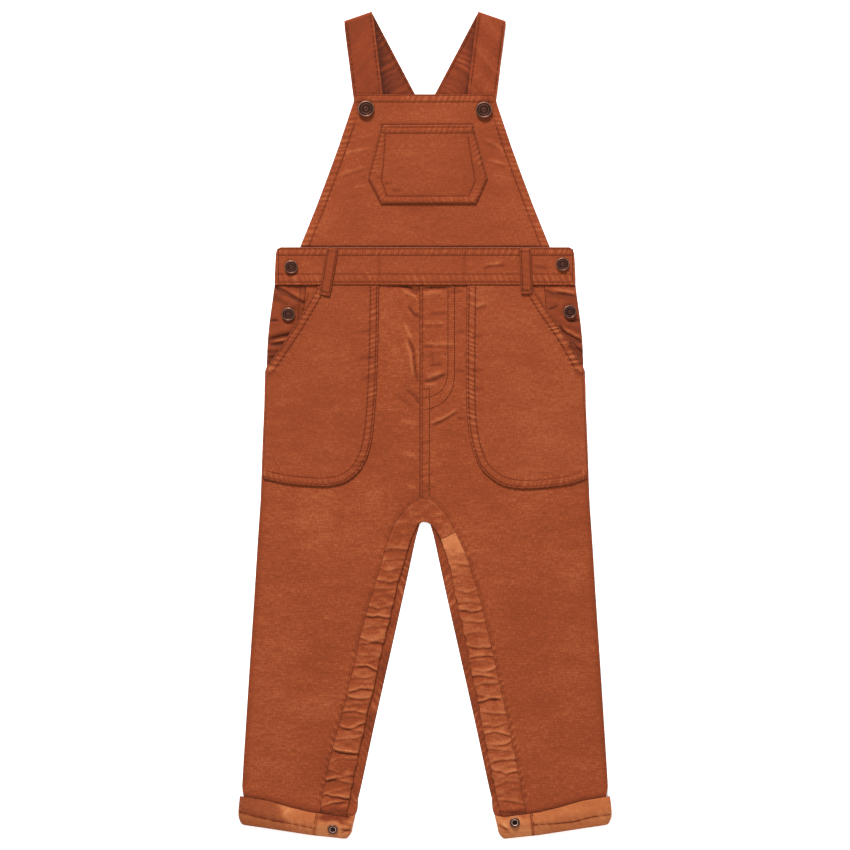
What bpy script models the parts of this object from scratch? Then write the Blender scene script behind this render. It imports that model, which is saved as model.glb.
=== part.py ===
"""Toddler's bib dungarees, laid flat and face up on a level surface.

+Y points to the shoulder straps, +Z up, and left is -X. Every size is in millimetres, and `place`
turns it into metres. The cloth lies in layers: back panels, front panels, then what is sewn on
them, each SEAM above the one below.
"""

import math
from collections import namedtuple

import bmesh
import bpy
from mathutils import Vector

MM = 0.001
MERGE = 0.001

# Cloth walls and the clear space at every seam and between layers.
WALL = 1.2
STRAP_WALL = 1.5
LOOP_WALL = 1.6
BACK_WAIST_WALL = 1.4
FRONT_WAIST_WALL = 2.6
SEAM = 0.3
LAYER = WALL + SEAM
CHORD = 0.12  # more room at a round seam, for the straight stretches between its stations

# Levels along the garment, from the straps down to the turn-ups.
BIB_TOP_Y = 284.8
WAIST_TOP_Y = 153.1
WAIST_LOW_Y = 120.9
PLACKET_LOW_Y = 54.0
SIDE_SEAM_TOP_Y = 50.0
CROTCH_Y = -83.4
CENTRE_SEAM_X = -4.3

# How far the front puffs up between its edges, and how wide its rounded sides are.
PUFF = 1.6
SIDE_ROLL = 42.0
LEG_ROLL = 26.0

Width = namedtuple("Width", "y half")
SIDE = (
    Width(WAIST_TOP_Y, 129.0),
    Width(121.0, 129.4),
    Width(107.5, 131.2),
    Width(90.0, 133.7),
    Width(72.7, 135.4),
    Width(50.3, 136.4),
    Width(46.0, 138.0),
    Width(21.1, 138.3),
    Width(-13.3, 139.8),
    Width(-64.9, 141.6),
    Width(-99.3, 144.0),
    Width(-150.9, 147.2),
    Width(-219.7, 151.8),
    Width(-288.5, 156.2),
    Width(-313.0, 157.6),
    Width(-319.5, 156.0),
    Width(-326.0, 155.6),
)
LEG_GAP = (
    Width(CROTCH_Y, 4.0),
    Width(-99.3, 8.2),
    Width(-133.7, 15.6),
    Width(-185.3, 27.1),
    Width(-254.1, 42.6),
    Width(-314.3, 55.6),
    Width(-328.0, 60.0),
    Width(-342.0, 65.8),
    Width(-352.0, 68.0),
)
BIB_SIDE = (
    Width(BIB_TOP_Y, 60.2),
    Width(281.5, 61.2),
    Width(278.0, 61.7),
    Width(266.2, 65.6),
    Width(240.4, 74.3),
    Width(214.6, 83.7),
    Width(188.8, 93.4),
    Width(163.0, 103.7),
    Width(WAIST_TOP_Y, 107.7),
)
PLACKET_INNER = (
    Width(WAIST_LOW_Y, 102.8),
    Width(98.9, 104.5),
    Width(77.4, 106.4),
    Width(62.8, 119.5),
    Width(PLACKET_LOW_Y, 130.6),
)

PLACKET_LEVELS = (
    WAIST_LOW_Y - SEAM, 116.5, 112.5, 108.5, 104.0, 98.9, 94.0, 89.0, 84.5, 80.5, 77.4, 73.0,
    69.0, 65.5, 62.8, 58.5, PLACKET_LOW_Y,
)

# Half lengths of the waistbands, and how far their ends draw in on the way up.
BACK_WAIST_HALF = 128.8
FRONT_WAIST_HALF = 129.4
Inset = namedtuple("Inset", "y inset")
WAIST_CORNERS = (
    Inset(WAIST_LOW_Y, 0.1),
    Inset(126.0, 0.0),
    Inset(137.0, 0.4),
    Inset(147.0, 1.0),
    Inset(151.0, 2.0),
    Inset(WAIST_TOP_Y - SEAM, 5.2),
)

# The seam between a front panel and its inseam band, and the band's free edge, from the centre
# seam over the crotch and down each leg.
Inseam = namedtuple("Inseam", "seam_x seam_y edge_x edge_y")
INSEAM_LEFT = (
    Inseam(-4.3, -63.2, -3.4, -83.9),
    Inseam(-11.2, -67.6, -5.8, -85.6),
    Inseam(-20.5, -77.0, -9.2, -92.0),
    Inseam(-28.0, -89.1, -12.9, -100.8),
    Inseam(-33.5, -104.1, -16.6, -113.2),
    Inseam(-38.0, -121.0, -20.7, -128.4),
    Inseam(-43.1, -137.6, -25.3, -144.5),
    Inseam(-54.0, -175.4, -33.7, -179.4),
    Inseam(-62.9, -214.6, -42.8, -217.8),
    Inseam(-71.6, -249.4, -50.6, -252.4),
    Inseam(-80.2, -281.0, -57.6, -285.0),
    Inseam(-85.8, -307.0, -62.8, -311.0),
    Inseam(-89.2, -326.8, -66.3, -330.0),
    Inseam(-91.6, -347.8, -70.0, -350.2),
)
INSEAM_RIGHT = (
    Inseam(-4.3, -63.2, -3.4, -83.9),
    Inseam(-1.0, -63.2, -1.0, -83.5),
    Inseam(5.8, -65.4, 2.6, -84.2),
    Inseam(13.1, -71.4, 6.2, -86.9),
    Inseam(20.6, -80.4, 9.9, -91.6),
    Inseam(25.8, -92.2, 13.4, -98.4),
    Inseam(30.8, -102.6, 16.9, -107.8),
    Inseam(36.6, -115.6, 20.9, -121.8),
    Inseam(42.9, -135.0, 25.0, -140.6),
    Inseam(51.2, -165.4, 31.2, -168.6),
    Inseam(62.1, -213.6, 41.3, -217.0),
    Inseam(72.2, -259.6, 50.3, -263.6),
    Inseam(79.0, -294.2, 57.2, -298.0),
    Inseam(84.6, -322.0, 62.9, -326.0),
    Inseam(89.2, -347.6, 70.0, -350.2),
)
GUSSET_END = 5  # the row of INSEAM_RIGHT where the left band, which runs over the crotch, ends

# The free edge of a back band, and the angle from +X at which its width is measured.
BackEdge = namedtuple("BackEdge", "x y angle")
BACK_EDGE = (
    BackEdge(0.15, -83.4, 90.0),
    BackEdge(2.6, -83.6, 72.0),
    BackEdge(4.5, -85.4, 53.0),
    BackEdge(5.7, -90.0, 35.0),
    BackEdge(8.2, -99.3, 19.0),
    BackEdge(15.6, -133.7, 12.7),
    BackEdge(27.1, -185.3, 12.7),
    BackEdge(42.6, -254.1, 12.7),
    BackEdge(55.6, -314.3, 11.0),
    BackEdge(60.0, -328.0, 10.0),
    BackEdge(65.8, -342.0, 8.0),
    BackEdge(68.0, -350.4, 7.0),
)
BACK_BAND_WIDTH = 21.0

# The gathers along the inseam bands.
GATHER_PITCH = 11.4
GATHER_HEIGHT = 1.15
GATHER_START = 42.0
BAND_STEP = 3.6
GUSSET_LENGTH = 44.0  # of the left band, over the crotch to its end on the right leg

# Outlines of the patch pockets: from the side seam along the bottom, round, and up to the waist.
POCKET_LEFT = (
    (-139.6, -46.4),
    (-122.0, -50.2),
    (-101.9, -52.5),
    (-82.1, -52.8),
    (-66.7, -48.2),
    (-54.6, -37.0),
    (-46.9, -18.9),
    (-43.0, 10.3),
    (-40.7, 53.3),
    (-39.4, 120.3),
)
POCKET_RIGHT = (
    (139.9, -45.6),
    (125.8, -51.0),
    (102.8, -54.2),
    (81.3, -54.9),
    (64.4, -51.0),
    (50.0, -39.8),
    (42.9, -26.7),
    (37.4, -4.0),
    (35.4, 33.0),
    (36.0, 120.3),
)
POCKET_CORNER = 5  # the outline's row half way round the lower corner
POCKET_MOUTH = ((91.8, 120.3), (135.4, 50.6))
POCKET_GAPE = 0.9
GAPE_REACH = 16.0

BIB_POCKET = (
    (-37.6, 258.2),
    (-49.3, 211.9),
    (-38.1, 189.8),
    (44.3, 190.2),
    (54.2, 211.8),
    (41.3, 258.6),
)

# Straps: direction is the angle from straight down towards the centre line.
STRAP_WIDTH = 25.2
STRAP_FRONT_ANGLE = math.radians(7.0)
STRAP_BACK_ANGLE = math.radians(27.8)
STRAP_FOLD_TILT = math.radians(19.0)
STRAP_FOLD_X = -57.3
STRAP_FOLD_Y = 350.3
STRAP_FOLD_RADIUS = 0.95
STRAP_FRONT_LENGTH = 90.0
STRAP_SETTLE = 0.2  # slope at which a strap comes down beside what it crosses
STRAP_CLEAR = 8.0  # how far past the lower strap's edge the upper one starts to come down
STRAP_CROSS_Y = 242.5

# The bib's underside: over one strap, over two where they cross and at the folded shoulders,
# and down to the surface beside them. A rise is an ellipse, level within its flat share.
OVER_STRAP = 1.9
SECOND_STRAP = 1.95
BIB_SIDE_LOW = 0.2
BIB_SIDE_ROLL = 22.0
BIB_FLARE = math.radians(20.0)
BIB_SETTLE = 24.0
STRAP_LEAVES_Y = 258.0  # below this the straps lie away from the bib's sides
Rise = namedtuple("Rise", "x y half_x half_y flat")
BIB_RISES = (
    Rise(0.0, STRAP_CROSS_Y, 62.0, 70.0, 0.37),
    Rise(38.0, 290.0, 24.0, 30.0, 0.45),
)

# Turn-ups: where the hem and the top edge lie across one, and its rings from the inner edge,
# round the hem and up. Front and back are the heights of the wall's middle.
Cuff = namedtuple("Cuff", "x hem top")
CUFF_EDGES = (
    Cuff(58.0, -356.0, -335.6),
    Cuff(68.4, -356.0, -337.5),
    Cuff(98.5, -352.8, -333.3),
    Cuff(114.8, -350.3, -329.4),
    Cuff(135.5, -347.2, -323.4),
    Cuff(160.4, -343.6, -319.2),
)
CuffRing = namedtuple("CuffRing", "up front back outer inner")
CUFF_RINGS = (
    CuffRing(4.5, 3.9, 2.1, 155.2, 69.5),
    CuffRing(1.4, 3.9, 2.1, 154.8, 70.3),
    CuffRing(0.6, 4.7, 1.4, 155.6, 69.2),
    CuffRing(0.9, 5.4, 0.8, 157.0, 67.6),
    CuffRing(2.2, 6.0, 0.6, 158.3, 66.2),
    CuffRing(6.0, 7.2, 0.6, 160.0, 63.8),
    CuffRing(12.0, 8.2, 0.6, 159.8, 62.6),
    CuffRing(20.0, 6.6, 0.6, 158.8, 60.4),
)
CUFF_ROLL = 3  # the first of the rings that are outside, above the hem
CUFF_HEIGHT = 20.0
CUFF_TURN = 4.85
HEM_OUTER_X = 155.4
LEG_OUTER_TOP = -55.0
LEG_OUTER_LOW = -293.0
CUFF_CLIMB = 14.0
CLIMB_ROWS = (13.5, 9.0, 4.5, 0.1, -5.0, -10.0)

# The largest folds: a ridge has its middle, its direction from +X, its half length, the half
# width of its ridge and its height.
Fold = namedtuple("Fold", "x y angle reach width height")
FOLDS = (
    Fold(-124.0, 110.0, -28.0, 16.0, 3.4, 1.5),
    Fold(-112.0, 104.0, 35.0, 9.0, 3.0, 1.0),
    Fold(-126.0, 80.0, 20.0, 12.0, 3.2, 1.2),
    Fold(-131.0, 66.0, 8.0, 8.0, 2.8, 1.1),
    Fold(121.0, 112.0, -8.0, 13.0, 3.2, 1.3),
    Fold(126.0, 86.0, -26.0, 11.0, 3.4, 1.5),
    Fold(130.0, 68.0, -14.0, 8.0, 2.8, 1.3),
    Fold(-19.0, 103.0, -62.0, 18.0, 3.2, 0.9),
    Fold(-15.0, 62.0, -72.0, 22.0, 3.4, 0.9),
    Fold(10.0, 64.0, 4.0, 15.0, 3.0, 0.6),
)

Button = namedtuple("Button", "name x y radius tilt")
BUTTONS = (
    Button("bib_button_left", -50.7, 272.0, 7.0, 0.0),
    Button("bib_button_right", 50.7, 271.1, 7.0, 0.0),
    Button("waist_button_left", -115.1, 135.9, 5.7, -2.0),
    Button("waist_button_right", 118.4, 138.3, 5.7, 2.0),
    Button("hip_button_left", -117.6, 95.3, 5.7, -3.0),
    Button("hip_button_right", 124.4, 97.4, 5.7, 12.0),
)
# Half a button's section, as shares of its radius: the shank, the rolled rim, the sunk face.
BUTTON_SECTION = (
    (0.0, 0.0),
    (0.55, 0.0),
    (0.55, 0.14),
    (1.0, 0.2),
    (0.98, 0.32),
    (0.84, 0.37),
    (0.7, 0.27),
    (0.0, 0.3),
)
BUTTON_STEPS = 16

RING_RADIUS = 4.4
RING_BORE = 2.1
RING_HEIGHT = 1.2
RING_SECTION = (
    (RING_BORE, 0.0),
    (RING_RADIUS - 0.4, 0.0),
    (RING_RADIUS, 0.5),
    (RING_RADIUS - 0.6, RING_HEIGHT),
    (RING_BORE + 0.5, RING_HEIGHT),
    (RING_BORE, 0.6),
)
RING_LIFT = 0.25
Ring = namedtuple("Ring", "name x y tilt")
RINGS = (
    Ring("popper_ring_left", -79.3, -347.6, 16.0),
    Ring("popper_ring_right", 77.2, -341.9, -8.0),
)

BeltLoop = namedtuple("BeltLoop", "name top_x top_y low_x low_y width")
BELT_LOOPS = (
    BeltLoop("belt_loop_left", -79.2, 152.3, -86.3, 110.9, 10.2),
    BeltLoop("belt_loop_right", 86.2, 152.3, 87.9, 112.2, 10.4),
)
LOOP_STAND_OFF = 0.7

# Colours as sRGB, from the photograph.
RUST = (0.631, 0.318, 0.196)
RUST_LEG = (0.612, 0.302, 0.188)
RUST_STRAP = (0.596, 0.29, 0.184)
RUST_INSIDE = (0.72, 0.42, 0.26)
BRONZE = (0.36, 0.235, 0.2)


def ease(share):
    """A smooth step from 0 to 1."""
    share = min(max(share, 0.0), 1.0)
    return share * share * (3.0 - 2.0 * share)


def bulge(share):
    """Half of a rounded top: 0 at an edge, 1 from `share` 1 on."""
    share = min(max(share, 0.0), 1.0)
    return share * (2.0 - share)


def blend(start, end, share):
    return start + (end - start) * share


def read(table, at, column=1):
    """A column of a table at a value of its first column, straight between rows."""
    rows = sorted(table)
    for low, high in zip(rows, rows[1:]):
        if at <= high[0]:
            share = (at - low[0]) / (high[0] - low[0])
            return blend(low[column], high[column], min(max(share, 0.0), 1.0))
    return rows[-1][column]


def spline(rows, at):
    """The rows as one smooth curve, at a place counted in rows."""
    last = len(rows) - 1
    start = min(int(at), last - 1)
    share = at - start
    before, first, second, after = (
        rows[min(max(start + step, 0), last)] for step in (-1, 0, 1, 2)
    )
    return tuple(
        0.5 * (2 * b + (c - a) * share + (2 * a - 5 * b + 4 * c - d) * share**2
               + (3 * b - a - 3 * c + d) * share**3)
        for a, b, c, d in zip(before, first, second, after)
    )


def even_rows(rows, count, smooth=True):
    """`count` rows evenly spaced along the curve that the first two columns draw."""
    fine = 24
    curve = [
        spline(rows, index / fine) if smooth else line_at(rows, index / fine)
        for index in range((len(rows) - 1) * fine + 1)
    ]
    travelled = [0.0]
    for here, there in zip(curve, curve[1:]):
        travelled.append(travelled[-1] + math.dist(here[:2], there[:2]))
    found = []
    index = 0
    for step in range(count):
        target = travelled[-1] * step / (count - 1)
        while index < len(curve) - 2 and travelled[index + 1] < target:
            index += 1
        span = travelled[index + 1] - travelled[index]
        share = (target - travelled[index]) / span
        found.append(tuple(blend(a, b, share) for a, b in zip(curve[index], curve[index + 1])))
    return found


def line_at(rows, at):
    """The rows joined by straight lines, at a place counted in rows."""
    start = min(int(at), len(rows) - 2)
    return tuple(blend(a, b, at - start) for a, b in zip(rows[start], rows[start + 1]))


def patch(bottom, top, outer, inner):
    """Rows of points that fill four edges: bottom and top run outer to inner, the others up."""
    across, up = len(bottom) - 1, len(outer) - 1
    rows = []
    for j in range(up + 1):
        v = j / up
        row = []
        for i in range(across + 1):
            u = i / across
            row.append(tuple(
                blend(bottom[i][k], top[i][k], v) + blend(outer[j][k], inner[j][k], u)
                - blend(blend(bottom[0][k], bottom[-1][k], u), blend(top[0][k], top[-1][k], u), v)
                for k in (0, 1)
            ))
        rows.append(row)
    return rows


def linear(channel):
    return channel / 12.92 if channel <= 0.04045 else ((channel + 0.055) / 1.055) ** 2.4


def material(name, colour, roughness=0.9, metallic=0.0):
    made = bpy.data.materials.new(name)
    made.use_nodes = True
    surface = made.node_tree.nodes["Principled BSDF"]
    surface.inputs["Base Color"].default_value = (*map(linear, colour), 1.0)
    surface.inputs["Roughness"].default_value = roughness
    surface.inputs["Metallic"].default_value = metallic
    return made


def clear_scene():
    for old in list(bpy.data.objects):
        bpy.data.objects.remove(old, do_unlink=True)


def add_object(name, bm, look, location=(0.0, 0.0, 0.0)):
    bmesh.ops.recalc_face_normals(bm, faces=bm.faces)
    mesh = bpy.data.meshes.new(name)
    bm.to_mesh(mesh)
    bm.free()
    mesh.shade_smooth()
    mesh.set_sharp_from_angle(angle=math.radians(35.0))
    mesh.materials.append(look)
    made = bpy.data.objects.new(name, mesh)
    made.location = Vector(location) * MM
    made.parent = garment
    bpy.context.collection.objects.link(made)
    return made


def grid(rows):
    """A bmesh of quads through rows of points."""
    bm = bmesh.new()
    bmesh.ops.create_grid(bm, x_segments=len(rows[0]) - 1, y_segments=len(rows) - 1, size=1.0)
    points = [point for row in rows for point in row]
    for vertex, point in zip(bm.verts, points):
        vertex.co = Vector(point) * MM
    return bm


def sheet(name, outline, low, wall, look):
    """A cloth piece: rows of (x, y), its underside at `low(x, y)` and its wall straight up."""
    bm = grid([[(x, y, low(x, y)) for x, y in row] for row in outline])
    grown = bmesh.ops.extrude_face_region(bm, geom=bm.faces[:])
    raised = [item for item in grown["geom"] if isinstance(item, bmesh.types.BMVert)]
    bmesh.ops.translate(bm, verts=raised, vec=(0.0, 0.0, wall * MM))
    return add_object(name, bm, look)


def wrapped(name, rows, wall, look, closed=False):
    """A piece that turns over: rows through the middle of its wall, thickened by Solidify."""
    bm = grid(rows)
    if closed:
        bmesh.ops.remove_doubles(bm, verts=bm.verts, dist=MERGE * MM)
    made = add_object(name, bm, look)
    thicken = made.modifiers.new("wall", "SOLIDIFY")
    thicken.thickness = wall * MM
    thicken.offset = 0.0
    return made


def level_rows(edges, columns):
    """Straight rows of points between the two ends given for each level."""
    return [
        [
            (blend(outer[0], inner[0], i / columns), blend(outer[1], inner[1], i / columns))
            for i in range(columns + 1)
        ]
        for outer, inner in edges
    ]


# ---- heights of the layers ---------------------------------------------------------------


def puff(x, y):
    """How far the front stands above its flat edges."""
    side_room = read(SIDE, y) - abs(x)
    leg_room = math.hypot(x, max(y - CROTCH_Y, 0.0)) - read(LEG_GAP, min(y, CROTCH_Y))
    return PUFF * bulge(side_room / SIDE_ROLL) * bulge(leg_room / LEG_ROLL)


def climb(x, y):
    """How far a leg's layers rise to pass inside the turn-up, whose back lies under them."""
    above = y - read(CUFF_EDGES, abs(x), 2)
    return LAYER * ease((CUFF_CLIMB - above) / CUFF_CLIMB)


def folds(x, y):
    total = 0.0
    for fold in FOLDS:
        turn = math.radians(fold.angle)
        dx, dy = x - fold.x, y - fold.y
        if math.hypot(dx, dy) > 2.0 * fold.reach:
            continue
        along = (dx * math.cos(turn) + dy * math.sin(turn)) / fold.reach
        across = (dy * math.cos(turn) - dx * math.sin(turn)) / fold.width
        total += fold.height * math.exp(-across * across) * ease(1.4 - abs(along))
    return total


def back_low(x, y):
    return climb(x, y)


def front_low(x, y):
    rise = climb(x, y)
    return LAYER + rise + puff(x, y) * (1.0 - 0.7 * rise / LAYER) + folds(x, y)


def waist_low(x, y):
    return BACK_WAIST_WALL + SEAM + puff(x, y)


def pocket_low(x, y):
    """On the front panel, with the slanted mouth standing off a little half way down it."""
    (top_x, top_y), (low_x, low_y) = POCKET_MOUTH
    length = math.hypot(low_x - top_x, top_y - low_y)
    down_x, down_y = (low_x - top_x) / length, (low_y - top_y) / length
    dx, dy = abs(x) - top_x, y - top_y
    share = (dx * down_x + dy * down_y) / length
    beyond = abs(dx * down_y - dy * down_x)
    open_share = math.sin(math.pi * min(max(share, 0.0), 1.0)) * ease(1.0 - beyond / GAPE_REACH)
    return front_low(x, y) + LAYER + POCKET_GAPE * open_share


def bib_low(x, y):
    """Over the straps, higher where two lie on each other, and down to the surface at its sides."""
    room = (read(BIB_SIDE, y) - abs(x)) * math.cos(BIB_FLARE)
    side_drop = (OVER_STRAP - BIB_SIDE_LOW) * ease((BIB_SIDE_ROLL - room) / (BIB_SIDE_ROLL - 3.0))
    side_drop *= ease((STRAP_LEAVES_Y - y) / BIB_SETTLE) * ease((y - WAIST_TOP_Y) / BIB_SETTLE)
    raised = 1.0
    for rise in BIB_RISES:
        away = math.hypot((abs(x) - rise.x) / rise.half_x, (y - rise.y) / rise.half_y)
        raised *= ease((away - rise.flat) / (1.0 - rise.flat))
    return OVER_STRAP - side_drop + SECOND_STRAP * (1.0 - raised)


def bib_pocket_low(x, y):
    return bib_low(x, y) + LAYER


def gather(distance):
    """The height of the gathers along an inseam band, uneven as hand-fed cloth is."""
    turns = distance / GATHER_PITCH + 0.22 * math.sin(distance / 9.0)
    wave = (0.5 - 0.5 * math.cos(2.0 * math.pi * turns)) ** 1.3
    strength = 0.72 + 0.28 * math.sin(distance / 13.0)
    return GATHER_HEIGHT * wave * strength * ease((distance - GATHER_START) / 30.0)


# ---- pieces ------------------------------------------------------------------------------


def hem_line(x):
    """Where the leg panels end, against the turned-in edge of the turn-up."""
    hem, top = read(CUFF_EDGES, abs(x), 1), read(CUFF_EDGES, abs(x), 2)
    return hem + CUFF_TURN * (top - hem) / CUFF_HEIGHT


def into_panel(station, clear):
    """A station's seam point, moved `clear` away from the band."""
    seam_x, seam_y, edge_x, edge_y = station
    share = clear / math.dist((seam_x, seam_y), (edge_x, edge_y))
    return seam_x + (seam_x - edge_x) * share, seam_y + (seam_y - edge_y) * share


def leg_stations(inseam, shares):
    """Stations along an inseam table: each interval of the table cut into its share of steps."""
    stations = []
    for index, steps in enumerate(shares):
        stations += [spline(inseam, index + step / steps) for step in range(steps)]
    return stations + [spline(inseam, len(shares))]


def leg_levels(stations, side):
    """The two ends of each level of a leg panel, which fan out round the crotch."""
    travelled = [0.0]
    for here, there in zip(stations, stations[1:]):
        travelled.append(travelled[-1] + math.dist(here[:2], there[:2]))
    edges = []
    for station, distance in zip(stations, travelled):
        outer_y = blend(LEG_OUTER_TOP, LEG_OUTER_LOW, distance / travelled[-1])
        edges.append(((side * read(SIDE, outer_y), outer_y), into_panel(station, SEAM + CHORD)))
    return edges


def hem_rows(inseam, side, columns):
    """The last rows of a leg panel, along the turn-up's top edge and then along its hem."""
    stations = leg_stations(inseam, [4] * (len(inseam) - 1))
    inner = [(row[1], abs(row[0]) + SEAM + CHORD) for row in stations]

    def row_at(line, outer):
        inner_x = 80.0
        for _ in range(5):
            inner_x = read(inner, line(inner_x))
        xs = [blend(outer, inner_x, i / columns) for i in range(columns + 1)]
        return [(side * x, line(x)) for x in xs]

    rows = [
        row_at(lambda x, above=above: read(CUFF_EDGES, x, 2) + above, side_above_cuff(above))
        for above in CLIMB_ROWS
    ]
    return rows + [row_at(hem_line, HEM_OUTER_X)]


def side_above_cuff(above):
    return read(SIDE, read(CUFF_EDGES, HEM_OUTER_X, 2) + above)


def front_panel(name, side, inseam, look):
    """From the waist to the hem: the seat, cut back round the placket, then the leg."""
    columns = 10
    centre = CENTRE_SEAM_X + side * 0.5 * SEAM
    edges = [((side * (read(PLACKET_INNER, y) - SEAM), y), (centre, y)) for y in PLACKET_LEVELS]
    edges += [
        ((side * read(SIDE, y), y), (centre, y))
        for y in (SIDE_SEAM_TOP_Y, 36.0, 18.0, 0.0, -18.0, -34.0, -46.0)
    ]
    low = len(inseam) - 3
    leg = leg_levels(leg_stations(inseam, [3] * (low - 6) + [2] * 6), side)
    leg[0] = (leg[0][0], (centre, leg[0][1][1]))
    outline = level_rows(edges + leg, columns) + hem_rows(inseam, side, columns)
    return sheet(name, outline, front_low, WALL, look)


def placket(name, side, look):
    edges = [
        ((side * read(SIDE, y), y), (side * read(PLACKET_INNER, y), y)) for y in PLACKET_LEVELS
    ]
    return sheet(name, level_rows(edges, 9), front_low, WALL, look)


def pocket(name, side, outline, look):
    across, up = 12, 14
    (top_x, top_y), (low_x, low_y) = POCKET_MOUTH
    top_x, low_x = side * top_x, side * low_x
    bottom = even_rows(outline[: POCKET_CORNER + 1], across + 1)
    inner = even_rows(outline[POCKET_CORNER:], up + 1)
    top = even_rows(((top_x, top_y), inner[-1]), across + 1, smooth=False)
    outer = even_rows((outline[0], (low_x, low_y), (top_x, top_y)), up + 1, smooth=False)
    return sheet(name, patch(bottom, top, outer, inner), pocket_low, WALL, look)


def inseam_band(name, rows, start, look):
    """A front band: flat over the crotch, then gathered down to the turn-up."""
    columns = 2
    length = sum(math.dist(here[:2], there[:2]) for here, there in zip(rows, rows[1:]))
    stations = even_rows(rows, round(length / BAND_STEP), smooth=False)
    distance = start
    outline, heights = [], {}
    for index, station in enumerate(stations):
        if index:
            distance += math.dist(station[:2], stations[index - 1][:2])
        row = []
        for i in range(columns + 1):
            share = i / columns
            x = blend(station[0], station[2], share)
            y = blend(station[1], station[3], share)
            strength = (0.35 + 0.65 * share) * (1.0 - 0.75 * climb(x, y) / LAYER)
            heights[x, y] = front_low(x, y) + gather(abs(distance)) * strength
            row.append((x, y))
        outline.append(row)
    return sheet(name, outline, lambda x, y: heights[x, y], WALL, look)


def left_band_rows():
    """The left band's stations, from its end on the right leg over the crotch and down."""
    over = leg_stations(INSEAM_RIGHT, [8] * (len(INSEAM_RIGHT) - 1))[: 8 * GUSSET_END + 1]
    down = leg_stations(INSEAM_LEFT, [8] * (len(INSEAM_LEFT) - 1))
    return over[:0:-1] + down


def right_band_rows():
    """The right band's stations, from the left band's end down to the turn-up."""
    down = leg_stations(INSEAM_RIGHT, [8] * (len(INSEAM_RIGHT) - 1))[8 * GUSSET_END :]
    clear = SEAM / math.dist(down[0][:2], down[1][:2])
    return [tuple(blend(a, b, clear) for a, b in zip(down[0], down[1]))] + down[1:]


def back_inseam(side):
    """The back's seam and free edge, in the form of the front's tables."""
    rows = []
    for edge in BACK_EDGE:
        turn = math.radians(edge.angle)
        seam_x = edge.x + BACK_BAND_WIDTH * math.cos(turn)
        seam_y = edge.y + BACK_BAND_WIDTH * math.sin(turn)
        rows.append(Inseam(side * seam_x, seam_y, side * edge.x, edge.y))
    return rows


def back_panel(name, side, look):
    """From the waistband to the hem, with its inseam band's width left off."""
    columns = 5
    inseam = back_inseam(side)
    edges = [
        ((side * read(SIDE, y), y), (side * 0.5 * SEAM, y))
        for y in (WAIST_LOW_Y - SEAM, 90.0, 60.0, 50.0, 46.0, 20.0, -10.0, -38.0)
    ]
    leg = leg_levels(leg_stations(inseam, [2] * (len(inseam) - 4)), side)
    outline = level_rows(edges + leg, columns) + hem_rows(inseam, side, columns)
    return sheet(name, outline, back_low, WALL, look)


def back_band(name, side, look):
    stations = leg_stations(back_inseam(side), [2] * (len(BACK_EDGE) - 1))
    edges = [((row[0], row[1]), (row[2], row[3])) for row in stations]
    return sheet(name, level_rows(edges, 2), back_low, WALL, look)


def waistband(name, low, wall, half, columns, look):
    """A strip with its two top corners rounded."""
    edges = [((inset - half, y), (half - inset, y)) for y, inset in WAIST_CORNERS]
    return sheet(name, level_rows(edges, columns), low, wall, look)


def bib(look):
    levels = 18
    edges = []
    for step in range(levels + 1):
        y = blend(WAIST_TOP_Y, BIB_TOP_Y, step / levels)
        edges.append(((-read(BIB_SIDE, y), y), (read(BIB_SIDE, y), y)))
    return sheet("bib", level_rows(edges, 20), bib_low, WALL, look)


def bib_pocket(look):
    top_left, left, low_left, low_right, right, top_right = BIB_POCKET
    outer = even_rows((low_left, left, top_left), 11, smooth=False)
    inner = even_rows((low_right, right, top_right), 11, smooth=False)
    bottom = even_rows((low_left, low_right), 12, smooth=False)
    top = even_rows((top_left, top_right), 12, smooth=False)
    return sheet("bib_pocket", patch(bottom, top, outer, inner), bib_pocket_low, WALL, look)


def beside(x, y, start, direction):
    """The distance from the line through `start` in this direction."""
    return abs((x - start[0]) * direction[1] - (y - start[1]) * direction[0])


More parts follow.
